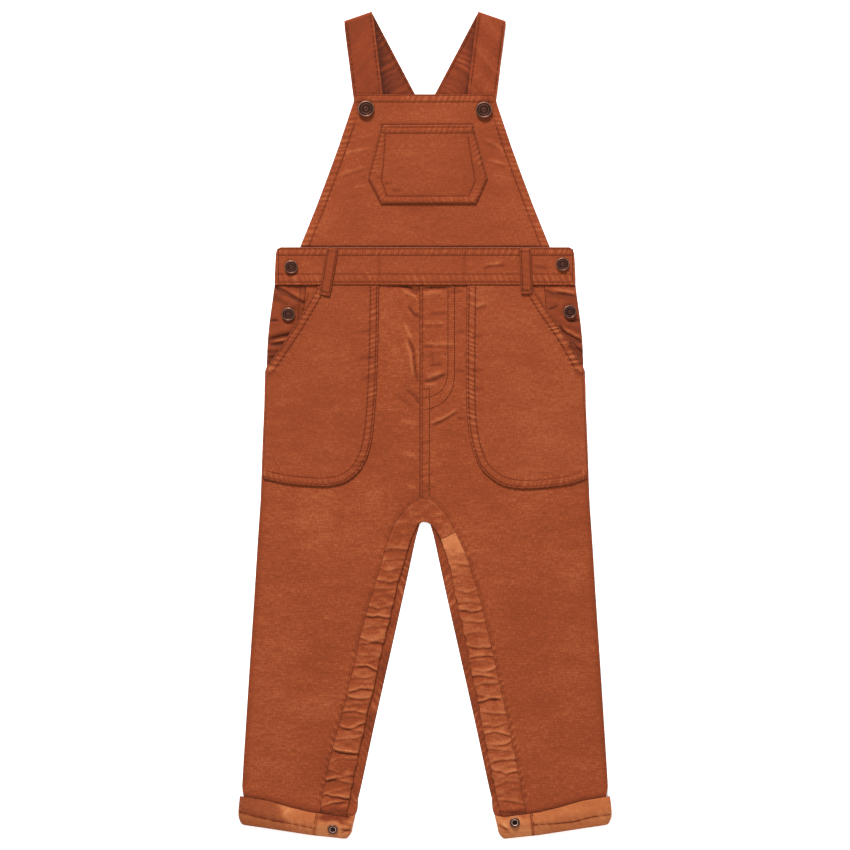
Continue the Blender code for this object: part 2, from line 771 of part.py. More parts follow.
def strap(name, side, over, look):
    """Front end behind the bib, up to the fold at the shoulder, then down the back."""
    fold = (side * -STRAP_FOLD_X, STRAP_FOLD_Y)
    front = (-side * math.sin(STRAP_FRONT_ANGLE), -math.cos(STRAP_FRONT_ANGLE))
    back = (-side * math.sin(STRAP_BACK_ANGLE), -math.cos(STRAP_BACK_ANGLE))
    other_fold = (side * STRAP_FOLD_X, STRAP_FOLD_Y)
    other_back = (side * math.sin(STRAP_BACK_ANGLE), -math.cos(STRAP_BACK_ANGLE))
    half = 0.5 * STRAP_WIDTH
    lying = 0.5 * STRAP_WALL
    back_length = (STRAP_FOLD_Y - WAIST_TOP_Y - SEAM) / math.cos(STRAP_BACK_ANGLE)

    def across(tilt, direction_angle):
        """Half of a row: tilted from level, and as long as the strap's width needs."""
        reach = half / math.cos(tilt - direction_angle)
        return side * -reach * math.cos(tilt), reach * math.sin(tilt)

    def front_height(x, y):
        clear = max(beside(x, y, fold, back) - half - 0.5, 0.0)
        return max(lying, lying + 2.0 * STRAP_FOLD_RADIUS - STRAP_SETTLE * clear)

    def back_height(x, y):
        if not over:
            return lying
        clear = max(beside(x, y, other_fold, other_back) - half - STRAP_CLEAR, 0.0)
        return max(lying, lying + STRAP_WALL + SEAM - STRAP_SETTLE * clear)

    def row(centre, reach, height):
        points = []
        for step in (-1.0, -0.5, 0.0, 0.5, 1.0):
            x, y = centre[0] + step * reach[0], centre[1] + step * reach[1]
            points.append((x, y, height(x, y)))
        return points

    rows = []
    front_steps = 12
    for step in range(front_steps + 1):
        distance = blend(STRAP_FRONT_LENGTH, 1.0, step / front_steps)
        centre = (fold[0] + front[0] * distance, fold[1] + front[1] * distance)
        rows.append(row(centre, across(STRAP_FOLD_TILT, STRAP_FRONT_ANGLE), front_height))
    outward = (side * math.sin(STRAP_FOLD_TILT), math.cos(STRAP_FOLD_TILT))
    turn_reach = across(STRAP_FOLD_TILT, 0.5 * (STRAP_FRONT_ANGLE + STRAP_BACK_ANGLE))
    turn_steps = 5
    for step in range(turn_steps + 1):
        angle = math.pi * step / turn_steps
        out = STRAP_FOLD_RADIUS * math.sin(angle)
        height = lying + STRAP_FOLD_RADIUS * (1.0 + math.cos(angle))
        centre = (fold[0] + outward[0] * out, fold[1] + outward[1] * out)
        rows.append(row(centre, turn_reach, lambda x, y: height))
    back_steps = 26
    for step in range(back_steps + 1):
        distance = blend(1.0, back_length, step / back_steps)
        level_out = ease((distance - 0.6 * back_length) / (0.4 * back_length))
        tilt = STRAP_FOLD_TILT * (1.0 - level_out)
        centre = (fold[0] + back[0] * distance, fold[1] + back[1] * distance)
        rows.append(row(centre, across(tilt, STRAP_BACK_ANGLE), back_height))
    return wrapped(name, rows, STRAP_WALL, look)


def cuff(name, side, look):
    """A flattened ring round the end of the leg, with its hem turned in."""
    across, turn = 7, 4
    rows = []
    for ring in CUFF_RINGS:
        radius = 0.5 * (ring.front - ring.back)
        middle = 0.5 * (ring.front + ring.back)
        outer, inner = ring.outer - radius, ring.inner + radius
        section = []
        for step in range(across + 1):
            section.append((blend(outer, inner, step / across), ring.front))
        for step in range(1, turn):
            angle = math.pi * step / turn
            reach = radius * math.sin(angle)
            section.append((inner - reach, middle + radius * math.cos(angle)))
        for step in range(across + 1):
            section.append((blend(inner, outer, step / across), ring.back))
        for step in range(1, turn):
            angle = math.pi * step / turn
            reach = radius * math.sin(angle)
            section.append((outer + reach, middle - radius * math.cos(angle)))
        section.append(section[0])
        row = []
        for x, z in section:
            hem, top = read(CUFF_EDGES, x, 1), read(CUFF_EDGES, x, 2)
            row.append((side * x, hem + ring.up * (top - hem) / CUFF_HEIGHT, z))
        rows.append(row)
    return wrapped(name, rows, WALL, look, closed=True)


def cuff_top(x, y):
    """The height of a turn-up's upper surface above its hem roll."""
    hem, top = read(CUFF_EDGES, abs(x), 1), read(CUFF_EDGES, abs(x), 2)
    up = (y - hem) * CUFF_HEIGHT / (top - hem)
    return read([(ring.up, ring.front) for ring in CUFF_RINGS[CUFF_ROLL:]], up) + 0.5 * WALL


def belt_loop(loop, look):
    steps = 14
    along = (loop.low_x - loop.top_x, loop.low_y - loop.top_y)
    length = math.hypot(*along)
    reach = (-along[1] / length * 0.5 * loop.width, along[0] / length * 0.5 * loop.width)
    outline, heights = [], {}
    for step in range(steps + 1):
        share = step / steps
        x, y = loop.top_x + along[0] * share, loop.top_y + along[1] * share
        row = [(x - reach[0], y - reach[1]), (x, y), (x + reach[0], y + reach[1])]
        for point in row:
            stand_off = LOOP_STAND_OFF * math.sin(math.pi * share)
            heights[point] = waist_low(*point) + FRONT_WAIST_WALL + SEAM + stand_off
        outline.append(row)
    return sheet(loop.name, outline, lambda x, y: heights[x, y], LOOP_WALL, look)


def seat(top, x, y, radius):
    """The highest point of a surface under a small round piece."""
    spots = [(x, y)]
    for step in range(8):
        angle = math.pi * step / 4
        spots.append((x + radius * math.cos(angle), y + radius * math.sin(angle)))
    return max(top(*spot) for spot in spots)


def button(spec, top, look):
    """A jeans button, turned from its section, on the cloth's top surface."""
    bm = bmesh.new()
    size = spec.radius * MM
    section = [bm.verts.new((r * size, 0.0, z * size)) for r, z in BUTTON_SECTION]
    edges = [bm.edges.new(pair) for pair in zip(section, section[1:])]
    bmesh.ops.spin(bm, geom=section + edges, cent=(0, 0, 0), axis=(0, 0, 1),
                   angle=2.0 * math.pi, steps=BUTTON_STEPS, use_merge=True)
    bmesh.ops.remove_doubles(bm, verts=bm.verts, dist=MERGE * MM)
    lean = math.radians(spec.tilt)
    shank = BUTTON_SECTION[1][0] * spec.radius
    rest = seat(top, spec.x, spec.y, shank) + SEAM + abs(math.sin(lean)) * shank
    made = add_object(spec.name, bm, look, (spec.x, spec.y, rest))
    made.rotation_euler = (0.0, lean, 0.0)
    return made


def popper_ring(ring, look):
    """The ring of a popper, leaning with the roll of the turn-up."""
    bm = bmesh.new()
    section = [bm.verts.new((r * MM, 0.0, z * MM)) for r, z in RING_SECTION]
    edges = [bm.edges.new(pair) for pair in zip(section, section[1:] + section[:1])]
    bmesh.ops.spin(bm, geom=section + edges, cent=(0, 0, 0), axis=(0, 0, 1),
                   angle=2.0 * math.pi, steps=BUTTON_STEPS, use_merge=True)
    rest = cuff_top(ring.x, ring.y) + SEAM + RING_LIFT
    made = add_object(ring.name, bm, look, (ring.x, ring.y, rest))
    made.rotation_euler = (math.radians(ring.tilt), 0.0, 0.0)
    return made


clear_scene()
garment = bpy.data.objects.new("dungarees", None)
bpy.context.collection.objects.link(garment)

for label, sign, inseam_rows, pocket_rows in (
    ("left", -1.0, INSEAM_LEFT, POCKET_LEFT),
    ("right", 1.0, INSEAM_RIGHT, POCKET_RIGHT),
):
    back_panel(f"back_{label}", sign, material(f"back_{label}_cloth", RUST_LEG))
    back_band(f"inseam_band_back_{label}", sign, material(f"back_band_{label}_cloth", RUST_LEG))
    front_panel(f"front_{label}", sign, inseam_rows, material(f"front_{label}_cloth", RUST_LEG))
    placket(f"side_placket_{label}", sign, material(f"placket_{label}_cloth", RUST))
    pocket(f"pocket_{label}", sign, pocket_rows, material(f"pocket_{label}_cloth", RUST))
    cuff(f"cuff_{label}", sign, material(f"cuff_{label}_cloth", RUST_INSIDE))

for label, rows, first in (
    ("left", left_band_rows(), -GUSSET_LENGTH),
    ("right", right_band_rows(), GUSSET_LENGTH),
):
    look = material(f"band_{label}_cloth", RUST_LEG)
    inseam_band(f"inseam_band_front_{label}", rows, first, look)

for label, low, wall, half, columns in (
    ("back", lambda x, y: 0.0, BACK_WAIST_WALL, BACK_WAIST_HALF, 10),
    ("front", waist_low, FRONT_WAIST_WALL, FRONT_WAIST_HALF, 24),
):
    look = material(f"{label}_waist_cloth", RUST)
    waistband(f"waistband_{label}", low, wall, half, columns, look)
bib(material("bib_cloth", RUST))
bib_pocket(material("bib_pocket_cloth", RUST))
strap("strap_left", -1.0, False, material("strap_left_cloth", RUST_STRAP))
strap("strap_right", 1.0, True, material("strap_right_cloth", RUST_STRAP))
for loop_row in BELT_LOOPS:
    belt_loop(loop_row, material(f"{loop_row.name}_cloth", RUST))

TOPS = {
    "bib": lambda x, y: bib_low(x, y) + WALL,
    "waist": lambda x, y: waist_low(x, y) + FRONT_WAIST_WALL,
    "hip": lambda x, y: front_low(x, y) + WALL,
}
for button_row in BUTTONS:
    metal = material(f"{button_row.name}_metal", BRONZE, 0.4, 0.85)
    button(button_row, TOPS[button_row.name.split("_")[0]], metal)
for ring_row in RINGS:
    popper_ring(ring_row, material(f"{ring_row.name}_metal", BRONZE, 0.35, 0.9))
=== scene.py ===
import math
from collections import namedtuple

import bmesh
import bpy
import numpy as np
from mathutils import Matrix, Vector


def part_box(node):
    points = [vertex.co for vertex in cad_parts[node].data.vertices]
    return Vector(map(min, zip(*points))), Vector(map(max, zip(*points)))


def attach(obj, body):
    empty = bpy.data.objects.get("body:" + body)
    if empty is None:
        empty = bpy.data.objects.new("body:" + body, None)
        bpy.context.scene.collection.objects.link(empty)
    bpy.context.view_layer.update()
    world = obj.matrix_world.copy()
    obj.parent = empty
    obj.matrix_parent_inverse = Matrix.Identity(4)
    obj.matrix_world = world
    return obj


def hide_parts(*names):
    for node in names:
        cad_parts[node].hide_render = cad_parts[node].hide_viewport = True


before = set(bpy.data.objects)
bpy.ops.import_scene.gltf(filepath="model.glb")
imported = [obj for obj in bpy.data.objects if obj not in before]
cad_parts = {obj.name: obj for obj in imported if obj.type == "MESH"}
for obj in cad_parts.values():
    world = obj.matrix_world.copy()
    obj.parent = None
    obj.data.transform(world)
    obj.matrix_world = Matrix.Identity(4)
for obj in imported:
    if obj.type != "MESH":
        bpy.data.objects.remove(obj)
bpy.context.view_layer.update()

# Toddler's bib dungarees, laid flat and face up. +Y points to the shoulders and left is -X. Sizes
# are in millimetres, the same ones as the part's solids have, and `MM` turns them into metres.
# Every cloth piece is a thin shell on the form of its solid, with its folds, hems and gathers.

MM = 0.001
MERGE = 0.001

# ---- sizes shared with the solids ----------------------------------------------------------

WALL = 1.2
STRAP_WALL = 1.5
LOOP_WALL = 1.6
BACK_WAIST_WALL = 1.4
FRONT_WAIST_WALL = 2.6
SEAM = 0.3
LAYER = WALL + SEAM

BIB_TOP_Y = 284.8
WAIST_TOP_Y = 153.1
WAIST_LOW_Y = 120.9
PLACKET_LOW_Y = 54.0
SIDE_SEAM_TOP_Y = 50.0
CROTCH_Y = -83.4
CENTRE_SEAM_X = -4.3

PUFF = 1.6
SIDE_ROLL = 42.0
LEG_ROLL = 26.0

# Edges as (y, distance from the middle): the garment's sides, the gap between its legs, the bib's
# sides and the plackets' inner edges.
SIDE = (
    (WAIST_TOP_Y, 129.0), (121.0, 129.4), (107.5, 131.2), (90.0, 133.7), (72.7, 135.4),
    (50.3, 136.4), (46.0, 138.0), (21.1, 138.3), (-13.3, 139.8), (-64.9, 141.6), (-99.3, 144.0),
    (-150.9, 147.2), (-219.7, 151.8), (-288.5, 156.2), (-313.0, 157.6), (-319.5, 156.0),
    (-326.0, 155.6),
)
LEG_GAP = (
    (CROTCH_Y, 4.0), (-99.3, 8.2), (-133.7, 15.6), (-185.3, 27.1), (-254.1, 42.6),
    (-314.3, 55.6), (-328.0, 60.0), (-342.0, 65.8), (-352.0, 68.0),
)
BIB_SIDE = (
    (BIB_TOP_Y, 60.2), (281.5, 61.2), (278.0, 61.7), (266.2, 65.6), (240.4, 74.3), (214.6, 83.7),
    (188.8, 93.4), (163.0, 103.7), (WAIST_TOP_Y, 107.7),
)
PLACKET_INNER = (
    (WAIST_LOW_Y, 102.8), (98.9, 104.5), (77.4, 106.4), (62.8, 119.5), (PLACKET_LOW_Y, 130.6),
)
PLACKET_LEVELS = (
    WAIST_LOW_Y - SEAM, 116.5, 112.5, 108.5, 104.0, 98.9, 94.0, 89.0, 84.5, 80.5, 77.4, 73.0,
    69.0, 65.5, 62.8, 58.5, PLACKET_LOW_Y,
)
SEAT_LEVELS = (SIDE_SEAM_TOP_Y, 36.0, 18.0, 0.0, -18.0, -34.0, -46.0)
BACK_WAIST_HALF = 128.8
FRONT_WAIST_HALF = 129.4
# y, how far the ends draw in
WAIST_CORNERS = (
    (WAIST_LOW_Y, 0.1), (126.0, 0.0), (137.0, 0.4), (147.0, 1.0), (151.0, 2.0),
    (WAIST_TOP_Y - SEAM, 5.2),
)

# The seam between a front panel and its inseam band, and the band's free edge: x, y, x, y.
INSEAM_LEFT = (
    (-4.3, -63.2, -3.4, -83.9), (-11.2, -67.6, -5.8, -85.6), (-20.5, -77.0, -9.2, -92.0),
    (-28.0, -89.1, -12.9, -100.8), (-33.5, -104.1, -16.6, -113.2), (-38.0, -121.0, -20.7, -128.4),
    (-43.1, -137.6, -25.3, -144.5), (-54.0, -175.4, -33.7, -179.4), (-62.9, -214.6, -42.8, -217.8),
    (-71.6, -249.4, -50.6, -252.4), (-80.2, -281.0, -57.6, -285.0), (-85.8, -307.0, -62.8, -311.0),
    (-89.2, -326.8, -66.3, -330.0), (-91.6, -347.8, -70.0, -350.2),
)
INSEAM_RIGHT = (
    (-4.3, -63.2, -3.4, -83.9), (-1.0, -63.2, -1.0, -83.5), (5.8, -65.4, 2.6, -84.2),
    (13.1, -71.4, 6.2, -86.9), (20.6, -80.4, 9.9, -91.6), (25.8, -92.2, 13.4, -98.4),
    (30.8, -102.6, 16.9, -107.8), (36.6, -115.6, 20.9, -121.8), (42.9, -135.0, 25.0, -140.6),
    (51.2, -165.4, 31.2, -168.6), (62.1, -213.6, 41.3, -217.0), (72.2, -259.6, 50.3, -263.6),
    (79.0, -294.2, 57.2, -298.0), (84.6, -322.0, 62.9, -326.0), (89.2, -347.6, 70.0, -350.2),
)
# The station of the right inseam where the crotch lap of the left band ends.
GUSSET_END = 5
# The free edge of a back band, and the angle from +X at which its width is measured: x, y, angle.
BACK_EDGE = (
    (0.15, -83.4, 90.0), (2.6, -83.6, 72.0), (4.5, -85.4, 53.0), (5.7, -90.0, 35.0),
    (8.2, -99.3, 19.0), (15.6, -133.7, 12.7), (27.1, -185.3, 12.7), (42.6, -254.1, 12.7),
    (55.6, -314.3, 11.0), (60.0, -328.0, 10.0), (65.8, -342.0, 8.0), (68.0, -350.4, 7.0),
)
BACK_BAND_WIDTH = 21.0

GATHER_PITCH = 11.4
GATHER_HEIGHT = 1.15
GATHER_START = 42.0
GUSSET_LENGTH = 44.0

# x, y of the pockets' edges from the side seam along the bottom, then up the inner side, which
# starts at row `POCKET_CORNER`. The slanted mouths are given for the right side, and mirrored.
POCKET_LEFT = (
    (-139.6, -46.4), (-122.0, -50.2), (-101.9, -52.5), (-82.1, -52.8), (-66.7, -48.2),
    (-54.6, -37.0), (-46.9, -18.9), (-43.0, 10.3), (-40.7, 53.3), (-39.4, 120.3),
)
POCKET_RIGHT = (
    (139.9, -45.6), (125.8, -51.0), (102.8, -54.2), (81.3, -54.9), (64.4, -51.0), (50.0, -39.8),
    (42.9, -26.7), (37.4, -4.0), (35.4, 33.0), (36.0, 120.3),
)
POCKET_CORNER = 5
POCKET_MOUTH = ((91.8, 120.3), (135.4, 50.6))
POCKET_GAPE = 0.9
GAPE_REACH = 16.0
BIB_POCKET = (
    (-37.6, 258.2), (-49.3, 211.9), (-38.1, 189.8), (44.3, 190.2), (54.2, 211.8), (41.3, 258.6),
)

STRAP_WIDTH = 25.2
STRAP_FRONT_ANGLE = math.radians(7.0)
STRAP_BACK_ANGLE = math.radians(27.8)
STRAP_FOLD_TILT = math.radians(19.0)
STRAP_FOLD_X = -57.3
STRAP_FOLD_Y = 350.3
STRAP_FOLD_RADIUS = 0.95
STRAP_FRONT_LENGTH = 90.0
STRAP_SETTLE = 0.2
STRAP_CLEAR = 8.0
STRAP_CROSS_Y = 242.5

OVER_STRAP = 1.9
SECOND_STRAP = 1.95
BIB_SIDE_LOW = 0.2
BIB_SIDE_ROLL = 22.0
BIB_FLARE = math.radians(20.0)
BIB_SETTLE = 24.0
STRAP_LEAVES_Y = 258.0
# x, y, half lengths, flat share of the two places where the bib lies on a second strap
BIB_RISES = ((0.0, STRAP_CROSS_Y, 62.0, 70.0, 0.37), (38.0, 290.0, 24.0, 30.0, 0.45))

# x, hem y, top y
CUFF_EDGES = (
    (58.0, -356.0, -335.6), (68.4, -356.0, -337.5), (98.5, -352.8, -333.3),
    (114.8, -350.3, -329.4), (135.5, -347.2, -323.4), (160.4, -343.6, -319.2),
)
# up, front and back heights of the wall's middle, outer and inner ends
CUFF_RINGS = (
    (4.5, 3.9, 2.1, 155.2, 69.5), (1.4, 3.9, 2.1, 154.8, 70.3), (0.6, 4.7, 1.4, 155.6, 69.2),
    (0.9, 5.4, 0.8, 157.0, 67.6), (2.2, 6.0, 0.6, 158.3, 66.2), (6.0, 7.2, 0.6, 160.0, 63.8),
    (12.0, 8.2, 0.6, 159.8, 62.6), (20.0, 6.6, 0.6, 158.8, 60.4),
)
# The ring that ends the roll of the hem.
CUFF_ROLL = 3
CUFF_HEIGHT = 20.0
CUFF_TURN = 4.85
HEM_OUTER_X = 155.4
LEG_OUTER_TOP = -55.0
LEG_OUTER_LOW = -293.0
CUFF_CLIMB = 14.0
CLIMB_ROWS = (13.5, 9.0, 4.5, 0.1, -5.0, -10.0)

Crease = namedtuple("Crease", "x y angle reach width height")
# The largest folds, which the solids have too.
FOLDS = (
    Crease(-124.0, 110.0, -28.0, 16.0, 3.4, 1.5),
    Crease(-112.0, 104.0, 35.0, 9.0, 3.0, 1.0),
    Crease(-126.0, 80.0, 20.0, 12.0, 3.2, 1.2),
    Crease(-131.0, 66.0, 8.0, 8.0, 2.8, 1.1),
    Crease(121.0, 112.0, -8.0, 13.0, 3.2, 1.3),
    Crease(126.0, 86.0, -26.0, 11.0, 3.4, 1.5),
    Crease(130.0, 68.0, -14.0, 8.0, 2.8, 1.3),
    Crease(-19.0, 103.0, -62.0, 18.0, 3.2, 0.9),
    Crease(-15.0, 62.0, -72.0, 22.0, 3.4, 0.9),
    Crease(10.0, 64.0, 4.0, 15.0, 3.0, 0.6),
)

# name, x, y, radius, tilt
BUTTONS = (
    ("bib_button_left", -50.7, 272.0, 7.0, 0.0),
    ("bib_button_right", 50.7, 271.1, 7.0, 0.0),
    ("waist_button_left", -115.1, 135.9, 5.7, -2.0),
    ("waist_button_right", 118.4, 138.3, 5.7, 2.0),
    ("hip_button_left", -117.6, 95.3, 5.7, -3.0),
    ("hip_button_right", 124.4, 97.4, 5.7, 12.0),
)
# name, x y, tilt
RINGS = (("popper_ring_left", -79.3, -347.6, 16.0), ("popper_ring_right", 77.2, -341.9, -8.0))
# name, top x y, low x y, width
BELT_LOOPS = (
    ("belt_loop_left", -79.2, 152.3, -86.3, 110.9, 10.2),
    ("belt_loop_right", 86.2, 152.3, 87.9, 112.2, 10.4),
)
LOOP_STAND_OFF = 0.7


# ---- curves and grids ------------------------------------------------------------------------

FINE_STEPS = 24


def ease(share):
    """From 0 to 1, level at both ends."""
    share = np.clip(share, 0.0, 1.0)
    return share * share * (3.0 - 2.0 * share)


def bulge(share):
    """From 0 to 1, steep at first and level at the end."""
    share = np.clip(share, 0.0, 1.0)
    return share * (2.0 - share)


def read(table, at, column=1):
    """A column of a table at values of its first column, straight between rows."""
    rows = np.array(sorted(table))
    return np.interp(at, rows[:, 0], rows[:, column])


def curve(rows, at):
    """The rows as one smooth curve, at places counted in rows."""
    rows, at = np.asarray(rows, float), np.asarray(at, float)
    last = len(rows) - 1
    start = np.minimum(at.astype(int), last - 1)
    share = (at - start)[:, None]
    before, first, second, after = (
        rows[np.clip(start + step, 0, last)] for step in (-1, 0, 1, 2)
    )
    return 0.5 * (
        2.0 * first + (second - before) * share
        + (2.0 * before - 5.0 * first + 4.0 * second - after) * share**2
        + (3.0 * first - before - 3.0 * second + after) * share**3
    )


def through(rows, count):
    """A number of points along the smooth curve through rows."""
    return curve(rows, np.linspace(0.0, len(rows) - 1, count))


def near(distance, width):
    """1 on a line, and less than half beyond `width` from it."""
    return np.exp(-((distance / width) ** 2))


def crest(distance, width):
    """As `near`, but sharper: the section of a crease pressed into cloth."""
    return np.exp(-(np.abs(distance / width) ** 1.5))


def lengths(points):
    """How far along a line each of its points is."""
    steps = np.hypot(*np.diff(points[:, :2], axis=0).T)
    return np.concatenate([[0.0], np.cumsum(steps)])


def even(rows, spacing, smooth=True):
    """Rows evenly spaced along the line that their first two columns draw."""
    line = np.asarray(rows, float)
    if smooth:
        line = through(line, FINE_STEPS * (len(line) - 1) + 1)
    travelled = lengths(line)
    count = max(2, round(travelled[-1] / spacing) + 1)
    targets = np.linspace(0.0, travelled[-1], count)
    return np.stack([np.interp(targets, travelled, column) for column in line.T], axis=1)


def level_rows(outer, inner, columns):
    """Straight rows of points between two edges."""
    share = np.linspace(0.0, 1.0, columns + 1)[None, :, None]
    outer, inner = np.asarray(outer, float), np.asarray(inner, float)
    return outer[:, None] * (1.0 - share) + inner[:, None] * share


def closer(rows, spacing):
    """The same rows, with others between them no further apart than this."""
    gaps = np.hypot(*np.diff(rows[:, rows.shape[1] // 2], axis=0).T)
    found = [rows[:1]]
    for index, gap in enumerate(gaps):
        steps = max(1, round(gap / spacing))
        share = (np.arange(1, steps + 1) / steps)[:, None, None]
        found.append(rows[index] * (1.0 - share) + rows[index + 1] * share)
    return np.concatenate(found)


def patch(bottom, top, outer, inner):
    """Rows of points that fill four edges: bottom and top run outer to inner, the others up."""
    u = np.linspace(0.0, 1.0, len(bottom))[None, :, None]
    v = np.linspace(0.0, 1.0, len(outer))[:, None, None]
    corners = (bottom[0] * (1 - u) + bottom[-1] * u) * (1 - v)
    corners = corners + (top[0] * (1 - u) + top[-1] * u) * v
    return (
        bottom[None] * (1 - v) + top[None] * v + outer[:, None] * (1 - u) + inner[:, None] * u
        - corners
    )


# ---- heights of the layers -------------------------------------------------------------------


def puff(x, y):
    """How far the front stands above its flat edges."""
    side_room = read(SIDE, y) - np.abs(x)
    leg_room = np.hypot(x, np.maximum(y - CROTCH_Y, 0.0)) - read(LEG_GAP, np.minimum(y, CROTCH_Y))
    return PUFF * bulge(side_room / SIDE_ROLL) * bulge(leg_room / LEG_ROLL)


def climb(x, y):
    """How far a leg's layers rise to pass inside the turn-up, whose back lies under them."""
    above = y - read(CUFF_EDGES, np.abs(x), 2)
    return LAYER * ease((CUFF_CLIMB - above) / CUFF_CLIMB)


def creased(x, y, creases):
    """The summed heights of soft ridges, and troughs where the height is negative."""
    total = np.zeros_like(x)
    for crease in creases:
        turn = math.radians(crease.angle)
        dx, dy = x - crease.x, y - crease.y
        along = (dx * math.cos(turn) + dy * math.sin(turn)) / crease.reach
        across = dy * math.cos(turn) - dx * math.sin(turn)
        total += crease.height * near(across, crease.width) * ease(1.4 - np.abs(along))
    return total


def front_low(x, y):
    rise = climb(x, y)
    return LAYER + rise + puff(x, y) * (1.0 - 0.7 * rise / LAYER) + creased(x, y, FOLDS)


def waist_low(x, y):
    return BACK_WAIST_WALL + SEAM + puff(x, y)


def pocket_low(x, y):
    """On the front panel, with the slanted mouth standing off a little half way down it."""
    (top_x, top_y), (low_x, low_y) = POCKET_MOUTH
    length = math.hypot(low_x - top_x, top_y - low_y)
    down_x, down_y = (low_x - top_x) / length, (low_y - top_y) / length
    dx, dy = np.abs(x) - top_x, y - top_y
    share = (dx * down_x + dy * down_y) / length
    beyond = np.abs(dx * down_y - dy * down_x)
    gape = np.sin(np.pi * np.clip(share, 0.0, 1.0)) * ease(1.0 - beyond / GAPE_REACH)
    return front_low(x, y) + LAYER + POCKET_GAPE * gape


def bib_low(x, y):
    """Over the straps, higher where two lie on each other, and down to the surface at its sides."""
    room = (read(BIB_SIDE, y) - np.abs(x)) * math.cos(BIB_FLARE)
    side_drop = (OVER_STRAP - BIB_SIDE_LOW) * ease((BIB_SIDE_ROLL - room) / (BIB_SIDE_ROLL - 3.0))
    side_drop *= ease((STRAP_LEAVES_Y - y) / BIB_SETTLE) * ease((y - WAIST_TOP_Y) / BIB_SETTLE)
    raised = 1.0
    for rise_x, rise_y, half_x, half_y, flat in BIB_RISES:
        away = np.hypot((np.abs(x) - rise_x) / half_x, (y - rise_y) / half_y)
        raised = raised * ease((away - flat) / (1.0 - flat))
    return OVER_STRAP - side_drop + SECOND_STRAP * (1.0 - raised)


def bib_pocket_low(x, y):
    return bib_low(x, y) + LAYER


def gather(distance):
    """The height of the gathers along an inseam band, uneven as hand-fed cloth is."""
    turns = distance / GATHER_PITCH + 0.22 * np.sin(distance / 9.0)
    wave = (0.5 - 0.5 * np.cos(2.0 * np.pi * turns)) ** 1.3
    strength = 0.72 + 0.28 * np.sin(distance / 13.0)
    return GATHER_HEIGHT * wave * strength * ease((distance - GATHER_START) / 30.0)


def cuff_top(x, y):
    """The height of a turn-up's upper surface above its hem roll."""
    hem, top = read(CUFF_EDGES, np.abs(x), 1), read(CUFF_EDGES, np.abs(x), 2)
    up = (y - hem) * CUFF_HEIGHT / (top - hem)
    return read([ring[:2] for ring in CUFF_RINGS[CUFF_ROLL:]], up) + 0.5 * WALL


# ---- uneven cloth ----------------------------------------------------------------------------
# Every seed is fixed, so that each run makes the same cloth.


def uneven(at, pitch, seed):
    """Smooth waves between -1 and 1 along a line, in their own order for each seed."""
    count = 256
    values = np.random.default_rng(seed).uniform(-1.0, 1.0, count)
    place = at / pitch + 0.25 * count
    start = np.floor(place).astype(int)
    share = ease(place - start)
    return values[start % count] * (1.0 - share) + values[(start + 1) % count] * share


def ripple(x, y, wide, high, seed):
    """Smooth waves between -1 and 1 over a sheet, `wide` by `high` millimetres each."""
    count = 128
    values = np.random.default_rng(seed).uniform(-1.0, 1.0, (count, count))
    across, up = x / wide + 0.5 * count, y / high + 2.0 * count
    i, j = np.floor(across).astype(int), np.floor(up).astype(int)
    s, t = ease(across - i), ease(up - j)
    i, j, next_i, next_j = i % count, j % count, (i + 1) % count, (j + 1) % count
    low = values[i, j] * (1.0 - s) + values[next_i, j] * s
    high_row = values[i, next_j] * (1.0 - s) + values[next_i, next_j] * s
    return low * (1.0 - t) + high_row * t


def washed(x, y, seed, amount=1.0):
    """The soft unevenness of washed crinkled cotton, wider along the weft than up the warp."""
    return amount * (
        0.11 * ripple(x, y, 8.5, 2.6, seed)
        + 0.12 * ripple(x, y, 21.0, 6.5, seed + 1)
        + 0.18 * ripple(x, y, 44.0, 30.0, seed + 2)
    )


def pucker(along, pitch, seed):
    """Ridges between 0 and 1 along a seam that pulls its cloth short, uneven in pitch and size."""
    turns = along / pitch + 0.55 * uneven(along, 2.3 * pitch, seed)
    wave = (0.5 - 0.5 * np.cos(2.0 * np.pi * turns)) ** 1.4
    return wave * (0.62 + 0.38 * uneven(along, 1.7 * pitch, seed + 1))


def from_line(line, x, y):
    """How far along a line each point is, and how far to its left."""
    line = np.asarray(line, float)[:, :2]
    travelled = lengths(line)
    nearest = np.full(x.shape, 1e9)
    along, left = np.zeros(x.shape), np.zeros(x.shape)
    for index, (start, end) in enumerate(zip(line, line[1:])):
        dx, dy = end - start
        length = math.hypot(dx, dy)
        share = np.clip(((x - start[0]) * dx + (y - start[1]) * dy) / length**2, 0.0, 1.0)
        off_x, off_y = x - start[0] - share * dx, y - start[1] - share * dy
        away = np.hypot(off_x, off_y)
        found = away < nearest
        nearest = np.where(found, away, nearest)
        along = np.where(found, travelled[index] + share * length, along)
        left = np.where(found, np.where(dx * off_y - dy * off_x >= 0.0, away, -away), left)
    return along, left


def folded(x, y, rows):
    """Soft ridges between their two ends, and troughs where the height is negative."""
    total = np.zeros_like(x)
    for row in rows:
        dx, dy = row.to_x - row.x, row.to_y - row.y
        reach = 0.5 * math.hypot(dx, dy)
        off_x, off_y = x - 0.5 * (row.x + row.to_x), y - 0.5 * (row.y + row.to_y)
        along = (off_x * dx + off_y * dy) / (2.0 * reach * reach)
        across = (off_y * dx - off_x * dy) / (2.0 * reach)
        total += row.height * crest(across, row.width) * ease(1.5 - np.abs(along))
    return total


# How a row of stitches sinks into the cloth, how much painted shade its groove gets, and how far it
# reaches to each side.
STITCH_SINK = 0.26
STITCH_SHADE = 0.28
STITCH_REACH = 0.85
# The heights of whole-size puckers and creases, and how much painted light they get: highlight on
# the ridges and shade in the troughs.
PUCKER_HEIGHT = 1.9
PUCKER_TONE = 0.85
FOLD_DEPTH = 1.5
FOLD_TONE = 0.7

